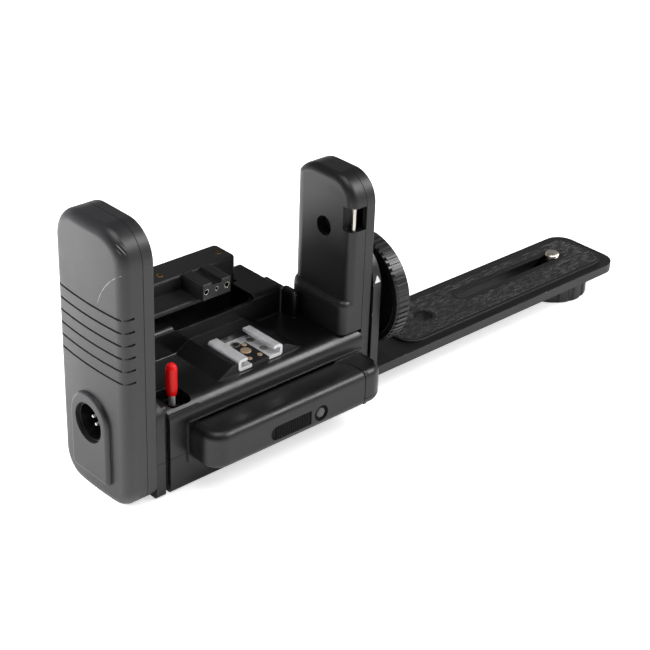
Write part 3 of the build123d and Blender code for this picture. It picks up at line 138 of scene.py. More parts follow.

# Battery cover, in millimetres: painted shade windows on its ribbed panel and its button's dish
RIB_FIELD = (("X", -8.05, 8.95), ("Y", -32.1, -30.0), ("Z", 14.35, 20.25))
RIB_FIELD_END = (("X", -10.9, -8.0), ("Y", -31.95, -30.0), ("Z", 14.35, 20.25))
BUTTON_DISH = (("X", 10.55, 17.25), ("Y", -31.9, -30.0), ("Z", 13.95, 20.65))
# Dome on the button: X and Z of its axis, the button's face, and its rings' reach and rise
BUTTON_AXIS = (13.9, 17.3)
BUTTON_FACE = -31.5
DOME_RINGS = [(1.97, -0.05), (1.97, 0.05), (1.86, 0.16), (1.60, 0.28), (1.15, 0.38), (0.60, 0.44),
              (0.15, 0.46)]
DOME_COUNT = 32
# Arrow that shows the way the cover slides: X and Z of its corners, and how far it stands out
ARROW_OUTLINE = [(-20.3, 17.15), (-18.9, 17.15), (-18.9, 16.55), (-17.7, 17.35), (-18.9, 18.15),
                 (-18.9, 17.55), (-20.3, 17.55)]
ARROW_FILM = 0.02

# Cross-head screws: where the middle of each head's face is, in millimetres
BOX_SCREWS = [(-12.5, 32.1, 57.98), (17.0, 33.4, 57.98)]
BASE_SCREWS = [(-41.3, 13.0, 1.45), (-41.3, 34.5, 1.45), (42.65, -13.1, 1.45), (42.65, 34.5, 1.45)]
# Radius and height of the head, radius of the shank and length of the whole, in millimetres
BOX_SCREW_SIZES = (1.68, 0.98, 0.9, 6.9)
BASE_SCREW_SIZES = (2.38, 1.38, 1.18, 16.3)
# Shares of the head's radius or height: flat face, domed edge, reach and depth of the cross
HEAD_FACE = 0.86
HEAD_DOME = 0.22
CROSS_REACH = 0.62
CROSS_DEPTH = 0.62
CROSS_TAPER = 0.8
SCREW_COUNT = 32

# Triangle on the edge of the arm's ear, in millimetres and degrees up from the ear's middle
EAR_CENTRE_Z = 50.7
EAR_RADIUS = 17.5
MARK_X = (53.15, 56.25)
MARK_APEX_X = 54.85
MARK_ANGLES = (7.6, 17.6)
MARK_ROWS = 6
MARK_FILM = 0.05

# Floor: half its side in metres, two distances from the middle in metres with its own light at
# each, the share of that light which gloss mirrors, and the size of the paper's clouds in mm
FLOOR_HALF = 4.0
FLOOR_FADE = (0.35, 0.80, 0.62, 1.2)
FLOOR_GLOSS = 0.3
FLOOR_CLOUD = 300.0
# Walls as gloss mirrors them: a low and a high direction with the light at each. Then the light
# that the room gives the object
WALL_FADE = (0.03, 0.36, 0.80, 0.06)
ROOM_LIGHT = 0.24
# Name, place, aim, width and height in metres, power in watts, and whether gloss mirrors it
LIGHTS = [
    ("left_panel", (-0.42, 0.30, 0.22), (-0.15, 0.08, 0.00), (0.50, 0.30), 6.0, False),
    ("right_softbox", (0.66, -0.50, 0.68), (0.03, 0.0, 0.03), (0.42, 0.42), 6.5, True),
    ("top_softbox", (-0.05, -0.15, 1.30), (0.03, 0.0, 0.0), (0.8, 0.8), 6.5, True),
]
# Camera: place in metres, turns, then focal length and sensor width in millimetres
CAMERA_PLACE = (-0.341915, -0.409512, 0.342486)
CAMERA_TURN = math.radians(-43.312)
CAMERA_LIFT = math.radians(28.996)
CAMERA_ROLL = math.radians(2.185)
CAMERA_LENS = 90.53
CAMERA_SENSOR = 36.0


def srgb(text):
    """Linear colour from an sRGB hex value."""
    values = [int(text[i:i + 2], 16) / 255 for i in (1, 3, 5)]
    return [v / 12.92 if v <= 0.04045 else ((v + 0.055) / 1.055) ** 2.4 for v in values]


def paint(text, label, about):
    """A colour property with its default given in sRGB hex."""
    return bpy.props.FloatVectorProperty(name=label, description=about, subtype="COLOR", size=3,
                                         min=0.0, max=1.0, default=srgb(text))


def length(size_mm, label, about):
    """A length property with its default given in millimetres."""
    return bpy.props.FloatProperty(name=label, description=about, unit="LENGTH",
                                   default=size_mm * MM)


class BracketSizes(bpy.types.PropertyGroup):
    """Sizes of the small fittings."""
    chequer_pitch: length(1.45, "Chequer pitch", "Spacing of the mat's raised squares")
    chequer_height: length(0.26, "Chequer height", "How far the mat's raised squares stand up")
    thread_pitch: length(1.27, "Thread pitch", "Rise of the camera thread in one turn")
    edge_radius: length(0.28, "Edge softness", "Radius at which the shading rounds a moulded edge")
    cross_width: length(0.55, "Cross slot width", "Width of the cross in a screw's head")


class BracketColours(bpy.types.PropertyGroup):
    """Colours of the finishes."""
    housing: paint("#101011", "Housing", "Base and upright mouldings")
    floor: paint("#060607", "Cradle floor", "Smooth top of the base")
    box: paint("#0e0e0f", "Terminal box", "Grained box behind the well")
    grip: paint("#232325", "Grip", "Hand grip mouldings")
    cover: paint("#0e0e0f", "Battery cover", "Sliding battery cover")
    connector: paint("#0e0e0f", "Connector", "Three-hole connector block")
    button: paint("#4c4d50", "Lock button", "Push button of the battery cover")
    sleeve: paint("#ee0207", "Toggle sleeve", "Glossy sleeve on the toggle")
    shoe: paint("#f2f2f4", "Hot shoe", "Plated sheet of the hot shoe")
    contact: paint("#ecd2b4", "Contacts", "Gold plating of the shoe contacts")
    brass: paint("#8a7146", "Box screws", "Yellow passivated screws")
    plate: paint("#c9c6bf", "Nickel plate", "Plated screws, pins and levers")
    arm: paint("#121213", "Arm", "Black paint of the arm")
    mat: paint("#0e0e0f", "Mat", "Rubber mat on the arm")
    dial: paint("#0e0e10", "Dial and knob", "Ribbed dial and camera knob")
    mark: paint("#f2f2f0", "Printed mark", "White print on the arm's ear")


def add(tree, kind, inputs=None, **settings):
    """A node with its settings; inputs holds values, or the sockets or nodes that feed it."""
    node = tree.nodes.new(kind)
    for name, value in settings.items():
        setattr(node, name, value)
    for name, value in (inputs or {}).items():
        if isinstance(value, bpy.types.Node):
            value = value.outputs[0]
        if isinstance(value, bpy.types.NodeSocket):
            tree.links.new(value, node.inputs[name])
        else:
            node.inputs[name].default_value = value
    return node


def span(value, low, high, start, end):
    """Range inputs that run from start to end while the value runs from low to high."""
    return {"Value": value, "From Min": low, "From Max": high, "To Min": start, "To Max": end}


def new_material(name):
    """An empty node material and its tree."""
    material = bpy.data.materials.new(name)
    material.use_nodes = True
    material.node_tree.nodes.clear()
    return material, material.node_tree


def close_material(tree, inputs):
    """Joins what a finish is made of to the shader, and the shader to the output."""
    shader = add(tree, "ShaderNodeBsdfPrincipled", inputs)
    add(tree, "ShaderNodeOutputMaterial", {"Surface": shader})


def shade(value, share=1.0):
    """The same colour, lighter or darker, as a node wants it."""
    return (*[min(1.0, part * share) for part in value], 1.0)


def layered(tree, under, coats):
    """Colour of a finish whose coats lie over each other, each where its mask is one."""
    # Sockets 6, 7 and 2 are the two colours and the mixed one
    for mask, coat in coats:
        under = add(tree, "ShaderNodeMix", {0: mask, 6: under, 7: coat},
                    data_type="RGBA").outputs[2]
    return under


def blotches(place, size_mm, detail=2.0):
    """Noise inputs whose blotches have a real size."""
    return {"Vector": place, "Scale": 1 / (size_mm * MM), "Detail": detail, "Roughness": 0.55}


def soft_edges(tree, radius):
    """Rounded shading normal, and a mask that is one along the edges it rounds."""
    bevel = add(tree, "ShaderNodeBevel", {"Radius": radius}, samples=EDGE_SAMPLES)
    flat = add(tree, "ShaderNodeNewGeometry").outputs["Normal"]
    cosine = add(tree, "ShaderNodeVectorMath", {0: bevel, 1: flat}, operation="DOT_PRODUCT")
    return bevel, add(tree, "ShaderNodeMapRange",
                      span(cosine.outputs["Value"], *EDGE_COSINES, 0.0, 1.0))


def window_mask(tree, place, window):
    """One inside a box given by the lowest and highest millimetre on some axes."""
    parts = add(tree, "ShaderNodeSeparateXYZ", {0: place}).outputs
    mask = None
    for axis, low, high in window:
        inside = add(tree, "ShaderNodeMath", {0: parts[axis], 1: (low + high) / 2 * MM,
                                              2: (high - low) / 2 * MM}, operation="COMPARE")
        mask = inside if mask is None else add(tree, "ShaderNodeMath", {0: mask, 1: inside},
                                               operation="MULTIPLY")
    return mask


def strokes_mask(tree, place, centre, reach, lean):
    """Three short strokes side by side that lean from upright and fade at their ends."""
    inside = add(tree, "ShaderNodeMapping", {"Vector": place, "Location": Vector(centre) * MM,
                                             "Rotation": (0, math.radians(lean), 0),
                                             "Scale": Vector(reach) * MM}, vector_type="TEXTURE")
    across = add(tree, "ShaderNodeSeparateXYZ", {0: inside}).outputs["X"]
    folded = add(tree, "ShaderNodeMath", {0: across, 1: 1 / 3}, operation="PINGPONG")
    lines = add(tree, "ShaderNodeMapRange", span(folded, 0.05, 0.08, 1.0, 0.0))
    away = add(tree, "ShaderNodeVectorMath", {0: inside}, operation="LENGTH").outputs["Value"]
    fade = add(tree, "ShaderNodeMapRange", span(away, 0.7, 1.0, 1.0, 0.0))
    return add(tree, "ShaderNodeMath", {0: lines, 1: fade}, operation="MULTIPLY")


def hook_mask(tree, place, centre, radius, half, window):
    """One along a thin broken arc across the grip's face, which a window cuts short."""
    flat = add(tree, "ShaderNodeMapping",
               {"Vector": place, "Location": (0, centre[0] * MM, centre[1] * MM),
                "Scale": (FLATTEN, 1.0, 1.0)}, vector_type="TEXTURE")
    away = add(tree, "ShaderNodeVectorMath", {0: flat}, operation="LENGTH").outputs["Value"]
    arc = add(tree, "ShaderNodeMath", {0: away, 1: radius * MM, 2: half * MM},
              operation="COMPARE")
    cut = add(tree, "ShaderNodeMath", {0: arc, 1: window_mask(tree, place, window)},
              operation="MULTIPLY")
    breaks = add(tree, "ShaderNodeTexNoise", blotches(place, BREAK_SIZE))
    broken = add(tree, "ShaderNodeMapRange", span(breaks, 0.35, 0.6, 0.1, 0.8))
    return add(tree, "ShaderNodeMath", {0: cut, 1: broken}, operation="MULTIPLY")


def moulded(name, base, roughness, grain_mm, depth_mm, dark=(), wear=1.6, marks=(), chips=None):
    """Moulding or enamel: fine grain, hand-polished patches, rubbed edges, scratches and chips.

    A tool's grain is about 0.1 mm wide and is drawn at 0.4 to 0.8 mm, as coarse as it needs to
    show. The windows in dark hold painted shade: joints and sunk fields are coloured near black.
    """
    material, tree = new_material(name)
    place = add(tree, "ShaderNodeTexCoord").outputs["Object"]
    grain = add(tree, "ShaderNodeTexNoise", blotches(place, grain_mm, 1.0))
    handled = add(tree, "ShaderNodeTexNoise", blotches(place, PATCH_SIZE, 3.0))
    rubs = add(tree, "ShaderNodeTexNoise", blotches(place, RUB_SIZE))
    rounded, edge = soft_edges(tree, bpy.context.scene.bracket_sizes.edge_radius)
    speckle = add(tree, "ShaderNodeMapRange", span(grain, 0.35, 0.70, 0.0, 0.35))
    uneven = add(tree, "ShaderNodeMapRange", span(rubs, 0.35, 0.75, 0.15, 0.8))
    rubbed = add(tree, "ShaderNodeMath", {0: edge, 1: uneven}, operation="MULTIPLY")
    coats = [(handled, shade(base, HANDLED_SHARE)), (speckle, shade(base, CREST_SHARE)),
             (rubbed, shade(base, wear + 1.0))]
    coats += [(mark(tree, place, *sizes), shade(srgb(SCRATCH_TONE))) for mark, *sizes in marks]
    if chips:
        specks = add(tree, "ShaderNodeTexNoise", blotches(place, CHIP_SIZE, 1.0))
        spots = add(tree, "ShaderNodeMapRange", span(specks, 0.68, 0.72, 0.0, 1.0))
        bare = add(tree, "ShaderNodeMath", {0: edge, 1: spots}, operation="MULTIPLY")
        coats.append((bare, shade(chips)))
    rough = add(tree, "ShaderNodeMapRange",
                span(handled, *NOISE_SPAN, roughness - 0.06, roughness + 0.07))
    # Painted shade: every dark window is coloured near black and made dull
    for window in dark:
        painted_shade = window_mask(tree, place, window)
        coats.append((painted_shade, shade(srgb(PAINTED_SHADE_TONE))))
        rough = add(tree, "ShaderNodeMath", {0: rough, 1: painted_shade}, operation="MAXIMUM")
    bump = add(tree, "ShaderNodeBump", {"Height": grain, "Distance": depth_mm * MM,
                                        "Strength": 0.7, "Normal": rounded})
    close_material(tree, {"Base Color": layered(tree, shade(base, HOLLOW_SHARE), coats),
                          "Roughness": rough, "Normal": bump, "IOR": POLYMER_IOR})
    return material


def plated(name, base, roughness, lines=None, blotch=0.12, metal=1.0):
    """Plated or drawn metal: faint draw lines, uneven polish and a little tarnish."""
    material, tree = new_material(name)
    place = add(tree, "ShaderNodeTexCoord").outputs["Object"]
    drawn = add(tree, "ShaderNodeMapping", {"Vector": place, "Scale": lines}) if lines else place
    fine = add(tree, "ShaderNodeTexNoise", blotches(drawn, PLATE_LINES))
    patch = add(tree, "ShaderNodeTexNoise", blotches(place, PLATE_TARNISH, 3.0))
    rounded, edge = soft_edges(tree, PLATE_EDGE * MM)
    body = layered(tree, shade(base, 1 - blotch),
                   [(patch, shade(base, 1.05)), (edge, shade(base, 1.25))])
    bump = add(tree, "ShaderNodeBump", {"Height": fine, "Distance": PLATE_RELIEF * MM,
                                        "Strength": 0.5, "Normal": rounded})
    rough = add(tree, "ShaderNodeMapRange",
                span(patch, *NOISE_SPAN, roughness * 0.8, roughness * 1.3))
    close_material(tree, {"Base Color": body, "Roughness": rough, "Normal": bump,
                          "Metallic": metal})
    return material


def rubbed_crests(name, base, pale):
    """Pressed rubber whose raised squares are rubbed pale in streaks along the arm."""
    material, tree = new_material(name)
    place = add(tree, "ShaderNodeTexCoord").outputs["Object"]
    along = add(tree, "ShaderNodeMapping", {"Vector": place, "Scale": (0.3, 1.0, 1.0)})
    fine = add(tree, "ShaderNodeTexNoise", blotches(along, 1.0))
    streaks = add(tree, "ShaderNodeMapRange", span(fine, 0.45, 0.68, 0.0, 1.0))
    handled = add(tree, "ShaderNodeTexNoise", blotches(place, PATCH_SIZE, 1.0))
    patches = add(tree, "ShaderNodeMapRange", span(handled, *NOISE_SPAN, 0.45, 1.0))
    rubbed = add(tree, "ShaderNodeMath", {0: streaks, 1: patches}, operation="MULTIPLY")
    rough = add(tree, "ShaderNodeMapRange", span(rubbed, 0.0, 1.0, 0.62, 0.45))
    close_material(tree, {"Base Color": layered(tree, shade(base), [(rubbed, shade(pale))]),
                          "Roughness": rough})
    return material


def dipped(name, base):
    """Soft sleeve dipped in a bath: a wet gloss, with the colour pooled darker in places."""
    material, tree = new_material(name)
    place = add(tree, "ShaderNodeTexCoord").outputs["Object"]
    pool = add(tree, "ShaderNodeTexNoise", blotches(place, DIP_POOL))
    rounded = add(tree, "ShaderNodeBevel", {"Radius": DIP_EDGE * MM}, samples=EDGE_SAMPLES)
    wave = add(tree, "ShaderNodeBump", {"Height": pool, "Distance": DIP_RELIEF * MM,
                                        "Strength": 0.3, "Normal": rounded})
    rough = add(tree, "ShaderNodeMapRange", span(pool, *NOISE_SPAN, 0.34, 0.46))
    close_material(tree, {"Base Color": layered(tree, shade(base, 0.75),
                                                [(pool, shade(base, 1.15))]),
                          "Roughness": rough, "Normal": wave, "IOR": PVC_IOR,
                          "Specular IOR Level": 0.3})
    return material


def dress(material, *names):
    """Gives CAD nodes a material."""
    for name in names:
        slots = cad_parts[name].data.materials
        if len(slots) == 0:
            slots.append(material)
        for index in range(len(slots)):
            slots[index] = material


def finish_piece(name, mesh, body, material=None):
    """Adds a made mesh to the scene as a piece that rides on a body."""
    piece = bpy.data.objects.new(name, mesh)
    bpy.context.scene.collection.objects.link(piece)
    if material:
        mesh.materials.clear()
        mesh.materials.append(material)
    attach(piece, body)
    return piece


def mesh_from(name, points, faces, smooth=False):
    """A mesh from points in metres, with its faces turned outwards."""
    mesh = bpy.data.meshes.new(name)
    mesh.from_pydata(points, [], faces)
    solid = bmesh.new()
    solid.from_mesh(mesh)
    bmesh.ops.recalc_face_normals(solid, faces=solid.faces)
    solid.to_mesh(mesh)
    solid.free()
    for face in mesh.polygons:
        face.use_smooth = smooth
    return mesh


def angles(count, start=0.0):
    """Evenly spaced angles round a ring."""
    return [2 * math.pi * i / count + start for i in range(count)]


def tube_faces(rows, count, endless=False):
    """Faces between rings of points: a tube with lids, or one whose last ring meets the first."""
    faces = []
    if not endless:
        faces += [tuple(range(count)), tuple(range(rows * count - 1, (rows - 1) * count - 1, -1))]
    for row in range(rows if endless else rows - 1):
        low, high = row * count, (row + 1) % rows * count
        for i in range(count):
            j = (i + 1) % count
            faces.append((low + i, low + j, high + j, high + i))
    return faces


def button_dome():
    """Points and faces of the low dome on the push button."""
    points = [((BUTTON_AXIS[0] + reach * math.cos(turn)) * MM, (BUTTON_FACE - rise) * MM,
               (BUTTON_AXIS[1] + reach * math.sin(turn)) * MM)
              for reach, rise in DOME_RINGS for turn in angles(DOME_COUNT)]
    return points, tube_faces(len(DOME_RINGS), DOME_COUNT)


def slide_arrow():
    """Points and faces of the thin arrow on the front of the battery cover."""
    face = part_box("battery_cover")[0].y
    points = [(x * MM, face - level, z * MM)
              for level in (0.0, ARROW_FILM * MM) for x, z in ARROW_OUTLINE]
    return points, tube_faces(2, len(ARROW_OUTLINE))


def slot_lip():
    """Points and faces of the mat's rim, which stands against the sides of the arm's slot."""
    points = []
    for reach, level in LIP_SECTION:
        for turn in angles(LIP_COUNT, math.pi / LIP_COUNT - math.pi / 2):
            end = SLOT_ENDS[1] if math.cos(turn) > 0 else SLOT_ENDS[0]
            points.append(((end + reach * math.cos(turn)) * MM,
                           (SLOT_Y + reach * math.sin(turn)) * MM, level * MM))
    return points, tube_faces(len(LIP_SECTION), LIP_COUNT, endless=True)


def camera_thread(pitch):
    """Points and faces of the camera screw: a plain neck and a rolled thread above it."""
    rise = (SCREW_TIP - SCREW_NECK_TOP) / THREAD_STEPS
    levels = [SCREW_FOOT, SCREW_NECK_TOP]
    levels += [SCREW_NECK_TOP + rise * step for step in range(THREAD_STEPS + 1)]
    points = []
    for index, level in enumerate(levels):
        for turn in angles(THREAD_COUNT):
            radius = SCREW_NECK_RADIUS if index < 2 else thread_radius(level, turn, pitch)
            points.append(((SCREW_AXIS[0] + radius * math.cos(turn)) * MM,
                           (SCREW_AXIS[1] + radius * math.sin(turn)) * MM, level * MM))
    return points, tube_faces(len(levels), THREAD_COUNT)


def thread_radius(level, turn, pitch):
    """Radius of the thread at a level and turn: sharp flanks with a flat crest and root."""
    phase = ((level - SCREW_NECK_TOP) / pitch - turn / (2 * math.pi)) % 1.0
    wave = abs(phase * 2 - 1)
    share = min(max((wave - THREAD_FLAT) / (1 - 2 * THREAD_FLAT), 0.0), 1.0)
    radius = SCREW_ROOT + (SCREW_RADIUS - SCREW_ROOT) * share
    return min(radius, SCREW_RADIUS - max(0.0, level - (SCREW_TIP - SCREW_CHAMFER)))


def triangle_film():
    """Points and faces of a thin triangle that follows the round edge of the arm's ear."""
    points = []
    for film in (0.0, MARK_FILM):
        for row in range(MARK_ROWS + 1):
            share = row / MARK_ROWS
            angle = math.radians(MARK_ANGLES[0] + share * (MARK_ANGLES[1] - MARK_ANGLES[0]))
            reach = EAR_RADIUS + film
            y = -reach * math.cos(angle)
            z = EAR_CENTRE_Z + reach * math.sin(angle)
            for side in MARK_X:
                points.append(((side + share * (MARK_APEX_X - side)) * MM, y * MM, z * MM))
    layer = 2 * (MARK_ROWS + 1)
    faces = []
    for row in range(MARK_ROWS):
        a = 2 * row
        b = a + layer
        faces += [(a, a + 1, a + 3, a + 2), (b, b + 2, b + 3, b + 1),
                  (a, a + 2, b + 2, b), (a + 1, b + 1, b + 3, a + 3)]
    faces += [(0, layer, layer + 1, 1), (layer - 2, layer - 1, 2 * layer - 1, 2 * layer - 2)]
    return points, faces


def mat_has_room(x, y):
    """Whether a raised square fits on the mat, clear of its border, the slot and the hole."""
    dx = max(abs(x - MAT_CENTRE_X) - (MAT_HALF[0] - MAT_CORNER), 0)
    dy = max(abs(y) - (MAT_HALF[1] - MAT_CORNER), 0)
    if math.hypot(dx, dy) > MAT_CORNER - MAT_BORDER:
        return False
    near = min(max(x, SLOT_ENDS[0]), SLOT_ENDS[1])
    return (math.hypot(x - near, y - SLOT_Y) > SLOT_KEEP
            and math.hypot(x - HOLE_X, y) > HOLE_KEEP)


def chequer_points(pitch):
    """Where the mat's raised squares stand."""
    columns = int(MAT_HALF[0] / pitch)
    rows = int(MAT_HALF[1] / pitch)
    spots = [(MAT_CENTRE_X + i * pitch, j * pitch)
             for i in range(-columns, columns + 1) for j in range(-rows, rows + 1)]
    return [(x * MM, y * MM, (MAT_TOP - SQUARE_SINK) * MM) for x, y in spots if mat_has_room(x, y)]


def grown(name, points, build, settings):
    """Runs a geometry tree over a cloud of points and gives back the plain mesh."""
    mesh = bpy.data.meshes.new(name + "_points")
    mesh.from_pydata(points, [], [])
    seedbed = bpy.data.objects.new(name + "_seed", mesh)
    bpy.context.scene.collection.objects.link(seedbed)
    tree = bpy.data.node_groups.new(name + "_tree", "GeometryNodeTree")
    for way in ("INPUT", "OUTPUT"):
        tree.interface.new_socket("Geometry", in_out=way, socket_type="NodeSocketGeometry")
    named = [(tree.interface.new_socket(label, in_out="INPUT", socket_type=kind), value)
             for label, kind, value in settings]
    build(tree)
    modifier = seedbed.modifiers.new(name, "NODES")
    modifier.node_group = tree
    for socket, value in named:
        modifier[socket.identifier] = value
    bpy.context.view_layer.update()
    graph = bpy.context.evaluated_depsgraph_get()
    result = bpy.data.meshes.new_from_object(seedbed.evaluated_get(graph))
    result.name = name
    seedbed.modifiers.remove(modifier)
    bpy.data.objects.remove(seedbed)
    return result


def close_tree(tree, start, copies, material):
    """Puts a copy on every point, makes the copies real and sets their material."""
    placed = add(tree, "GeometryNodeInstanceOnPoints", {"Points": start, "Instance": copies})
    real = add(tree, "GeometryNodeRealizeInstances", {0: placed})
    painted = add(tree, "GeometryNodeSetMaterial", {"Geometry": real, "Material": material})
    add(tree, "NodeGroupOutput", {0: painted})


def chequer_tree(tree):
    """Low square pyramids with flat tops, one on each point."""
    given = add(tree, "NodeGroupInput").outputs
    foot = add(tree, "ShaderNodeMath", {0: given["Pitch"], 1: SQUARE_FOOT}, operation="MULTIPLY")
    top = add(tree, "ShaderNodeMath", {0: given["Pitch"], 1: SQUARE_TOP}, operation="MULTIPLY")
    cone = add(tree, "GeometryNodeMeshCone", {"Vertices": 4, "Radius Top": top,
                                              "Radius Bottom": foot, "Depth": given["Height"]})
    turned = add(tree, "GeometryNodeTransform", {"Geometry": cone,
                                                 "Rotation": (0, 0, math.pi / 4)})
    close_tree(tree, given["Geometry"], turned, given["Finish"])


def screw_tree(tree):
    """A copy of the given screw on each point."""
    given = add(tree, "NodeGroupInput").outputs
    source = add(tree, "GeometryNodeObjectInfo", {"Object": given["Screw"]})
    close_tree(tree, given["Geometry"], source.outputs["Geometry"], given["Finish"])


def cross_outline(width, reach):
    """Twelve corners of a plain cross."""
    w = width / 2
    r = reach
    return [(r, -w), (r, w), (w, w), (w, r), (-w, r), (-w, w),
            (-r, w), (-r, -w), (-w, -w), (-w, -r), (w, -r), (w, -w)]


def cross_screw_mesh(name, head_radius, head_height, shank_radius, whole, looks_up):
    """Pan-head screw with a sunk cross; its face is at nought and it runs away from the viewer."""
    def ring(radius, level):
        return [solid.verts.new((radius * math.cos(turn), radius * math.sin(turn), level))
                for turn in angles(SCREW_COUNT)]

    def skirt(upper, lower):
        for i in range(len(upper)):
            j = (i + 1) % len(upper)
            solid.faces.new((upper[i], upper[j], lower[j], lower[i]))

    solid = bmesh.new()
    rim = ring(head_radius * HEAD_FACE, 0.0)
    outline = cross_outline(bpy.context.scene.bracket_sizes.cross_width, head_radius * CROSS_REACH)
    cross = [solid.verts.new((x, y, 0.0)) for x, y in outline]
    edges = [solid.edges.new((loop[i], loop[(i + 1) % len(loop)]))
             for loop in (rim, cross) for i in range(len(loop))]
    bmesh.ops.triangle_fill(solid, use_beauty=True, edges=edges)
    inside = [f for f in solid.faces if all(v in cross for v in f.verts)]
    bmesh.ops.delete(solid, geom=inside, context="FACES_ONLY")
    sunk = [solid.verts.new((v.co.x * CROSS_TAPER, v.co.y * CROSS_TAPER,
                             -head_height * CROSS_DEPTH)) for v in cross]
    skirt(cross, sunk)
    solid.faces.new(sunk)
    below = rim
    for radius, level in ((head_radius, -head_height * HEAD_DOME), (head_radius, -head_height),
                          (shank_radius, -head_height), (shank_radius, -whole)):
        after = ring(radius, level)
        skirt(below, after)
        below = after
    solid.faces.new(below)
    if not looks_up:
        bmesh.ops.rotate(solid, verts=solid.verts, matrix=Matrix.Rotation(math.pi, 3, "X"))
    bmesh.ops.recalc_face_normals(solid, faces=solid.faces)
    mesh = bpy.data.meshes.new(name)
    solid.to_mesh(mesh)
    solid.free()
    return mesh


def cross_screws(name, places, sizes, looks_up, finish, node):
    """Screws at their places, in one piece that stands for the plain ones."""
    model = bpy.data.objects.new(name + "_model", cross_screw_mesh(
        name + "_model", *[size * MM for size in sizes], looks_up))
    bpy.context.scene.collection.objects.link(model)
    mesh = grown(name, [Vector(place) * MM for place in places], screw_tree,
                 [("Screw", "NodeSocketObject", model), ("Finish", "NodeSocketMaterial", finish)])
    bpy.data.objects.remove(model)
    piece = finish_piece(name, mesh, "base")
    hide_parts(node)


class BRACKET_OT_base_housing(bpy.types.Operator):
    """Finish the two halves of the base and of the upright"""
    bl_idname = "bracket.base_housing"
    bl_label = "Base and upright"

    def execute(self, context):
        colours = context.scene.bracket_colours
        # ABS moulded in a spark-eroded tool: an even, fine grain that scatters the light
        # Painted shade along the seam between the shells
        dress(moulded("moulded_abs_base_grain", colours.housing, 0.42, 0.55, 0.03, [SHELL_SEAM]),
              "lower_shell")
        # ABS moulded in a polished tool: darker, with clearer reflections
        # Painted shade along the seam between the shells
        dress(moulded("moulded_abs_polished_top", colours.floor, 0.34, 0.7, 0.012, [SHELL_SEAM]),
              "upper_shell")
        # ABS moulded satin: softer reflections than the base, with painted shade in its tight
        # joint
        dress(moulded("moulded_abs_upright_satin", colours.housing, 0.40, 0.6, 0.02,
                      [UPRIGHT_SEAM]), "upright_inner_shell", "upright_outer_plate")
        # Drawn steel wire, bright nickel plate: one clear line of light along it
        dress(plated("nickel_plated_pin", colours.plate, 0.22), "strap_pin")
        return {"FINISHED"}


class BRACKET_OT_hand_grip(bpy.types.Operator):
    """Finish the hand grip with its hair scratches and the socket with its pins"""
    bl_idname = "bracket.hand_grip"
    bl_label = "Hand grip"

    def execute(self, context):
        # ABS moulded satin, polished by the hand that holds it, with painted shade along its seam
        grip = moulded("moulded_abs_grip_satin", context.scene.bracket_colours.grip, 0.38, 0.6,
                       0.015, [GRIP_SEAM],
                       marks=[(strokes_mask, STROKES_CENTRE, STROKES_REACH, STROKES_LEAN),
                              (hook_mask, HOOK_CENTRE, HOOK_RADIUS, HOOK_HALF_WIDTH,
                               HOOK_WINDOW)])
        dress(grip, "grip_outer_shell", "grip_inner_shell")
        # Phenolic insert: dark, smooth and nearly without grain
        dress(moulded("moulded_phenolic_socket", srgb("#0b0b0c"), 0.3, 0.8, 0.006),
              "terminal_socket")
        # Brass, dull tin plate: pale specks in the dark of the socket
        dress(plated("tin_plated_contact_pins", srgb("#f4f4f4"), 0.5, metal=0.6), "terminal_pins")
        return {"FINISHED"}


class BRACKET_OT_battery_bar(bpy.types.Operator):
    """Finish the sliding battery cover and its lock button, and add the moulded arrow"""
    bl_idname = "bracket.battery_bar"
    bl_label = "Battery bar"

    def execute(self, context):
        colours = context.scene.bracket_colours
        # ABS moulded satin: grey where it faces the light; painted shade in ribbed field and dish
        dress(moulded("moulded_abs_cover_satin", colours.cover, 0.36, 0.5, 0.018,
                      [RIB_FIELD, RIB_FIELD_END, BUTTON_DISH]), "battery_cover")
        # Acetal push button: slightly waxy and paler than the cover
        acetal = moulded("moulded_acetal_button", colours.button, 0.30, 0.6, 0.01)
        dress(acetal, "lock_button")
        finish_piece("button_dome", mesh_from("button_dome", *button_dome(), smooth=True),
                     "lock_button", acetal)
        # The same ABS left dull by the tool's engraving: the arrow only shows from near by
        arrow = moulded("moulded_abs_arrow", srgb("#151516"), 0.5, 0.4, 0.01)
        finish_piece("slide_arrow", mesh_from("slide_arrow", *slide_arrow()), "battery_cover",
                     arrow)
        return {"FINISHED"}


class BRACKET_OT_hot_shoe(bpy.types.Operator):
    """Finish the hot shoe, its contact plate, contacts and locking ring"""
    bl_idname = "bracket.hot_shoe"
    bl_label = "Hot shoe"

    def execute(self, context):
        colours = context.scene.bracket_colours
        # Stamped steel, nickel-chrome plated, with faint draw lines along the rails
        dress(plated("chrome_plated_steel_sheet", colours.shoe, 0.40, (1.0, 0.08, 1.0), 0.05,
                     metal=0.75), "hot_shoe")
        # Glass-filled laminate: dull black
        dress(moulded("phenolic_laminate", srgb("#0c0c0e"), 0.45, 0.5, 0.01),
              "shoe_contact_plate")
        # Brass, gold plate worn matt: warm discs with no mirror in them
        dress(plated("gold_plated_contacts", colours.contact, 0.5), "centre_contact",
              "rear_contact", "front_right_contact", "front_left_contact")
        # Steel, barrel-plated nickel: greyer and duller than the rails
        dress(plated("nickel_plated_ring", colours.plate, 0.4), "lock_ring", "shoe_screws")
        return {"FINISHED"}


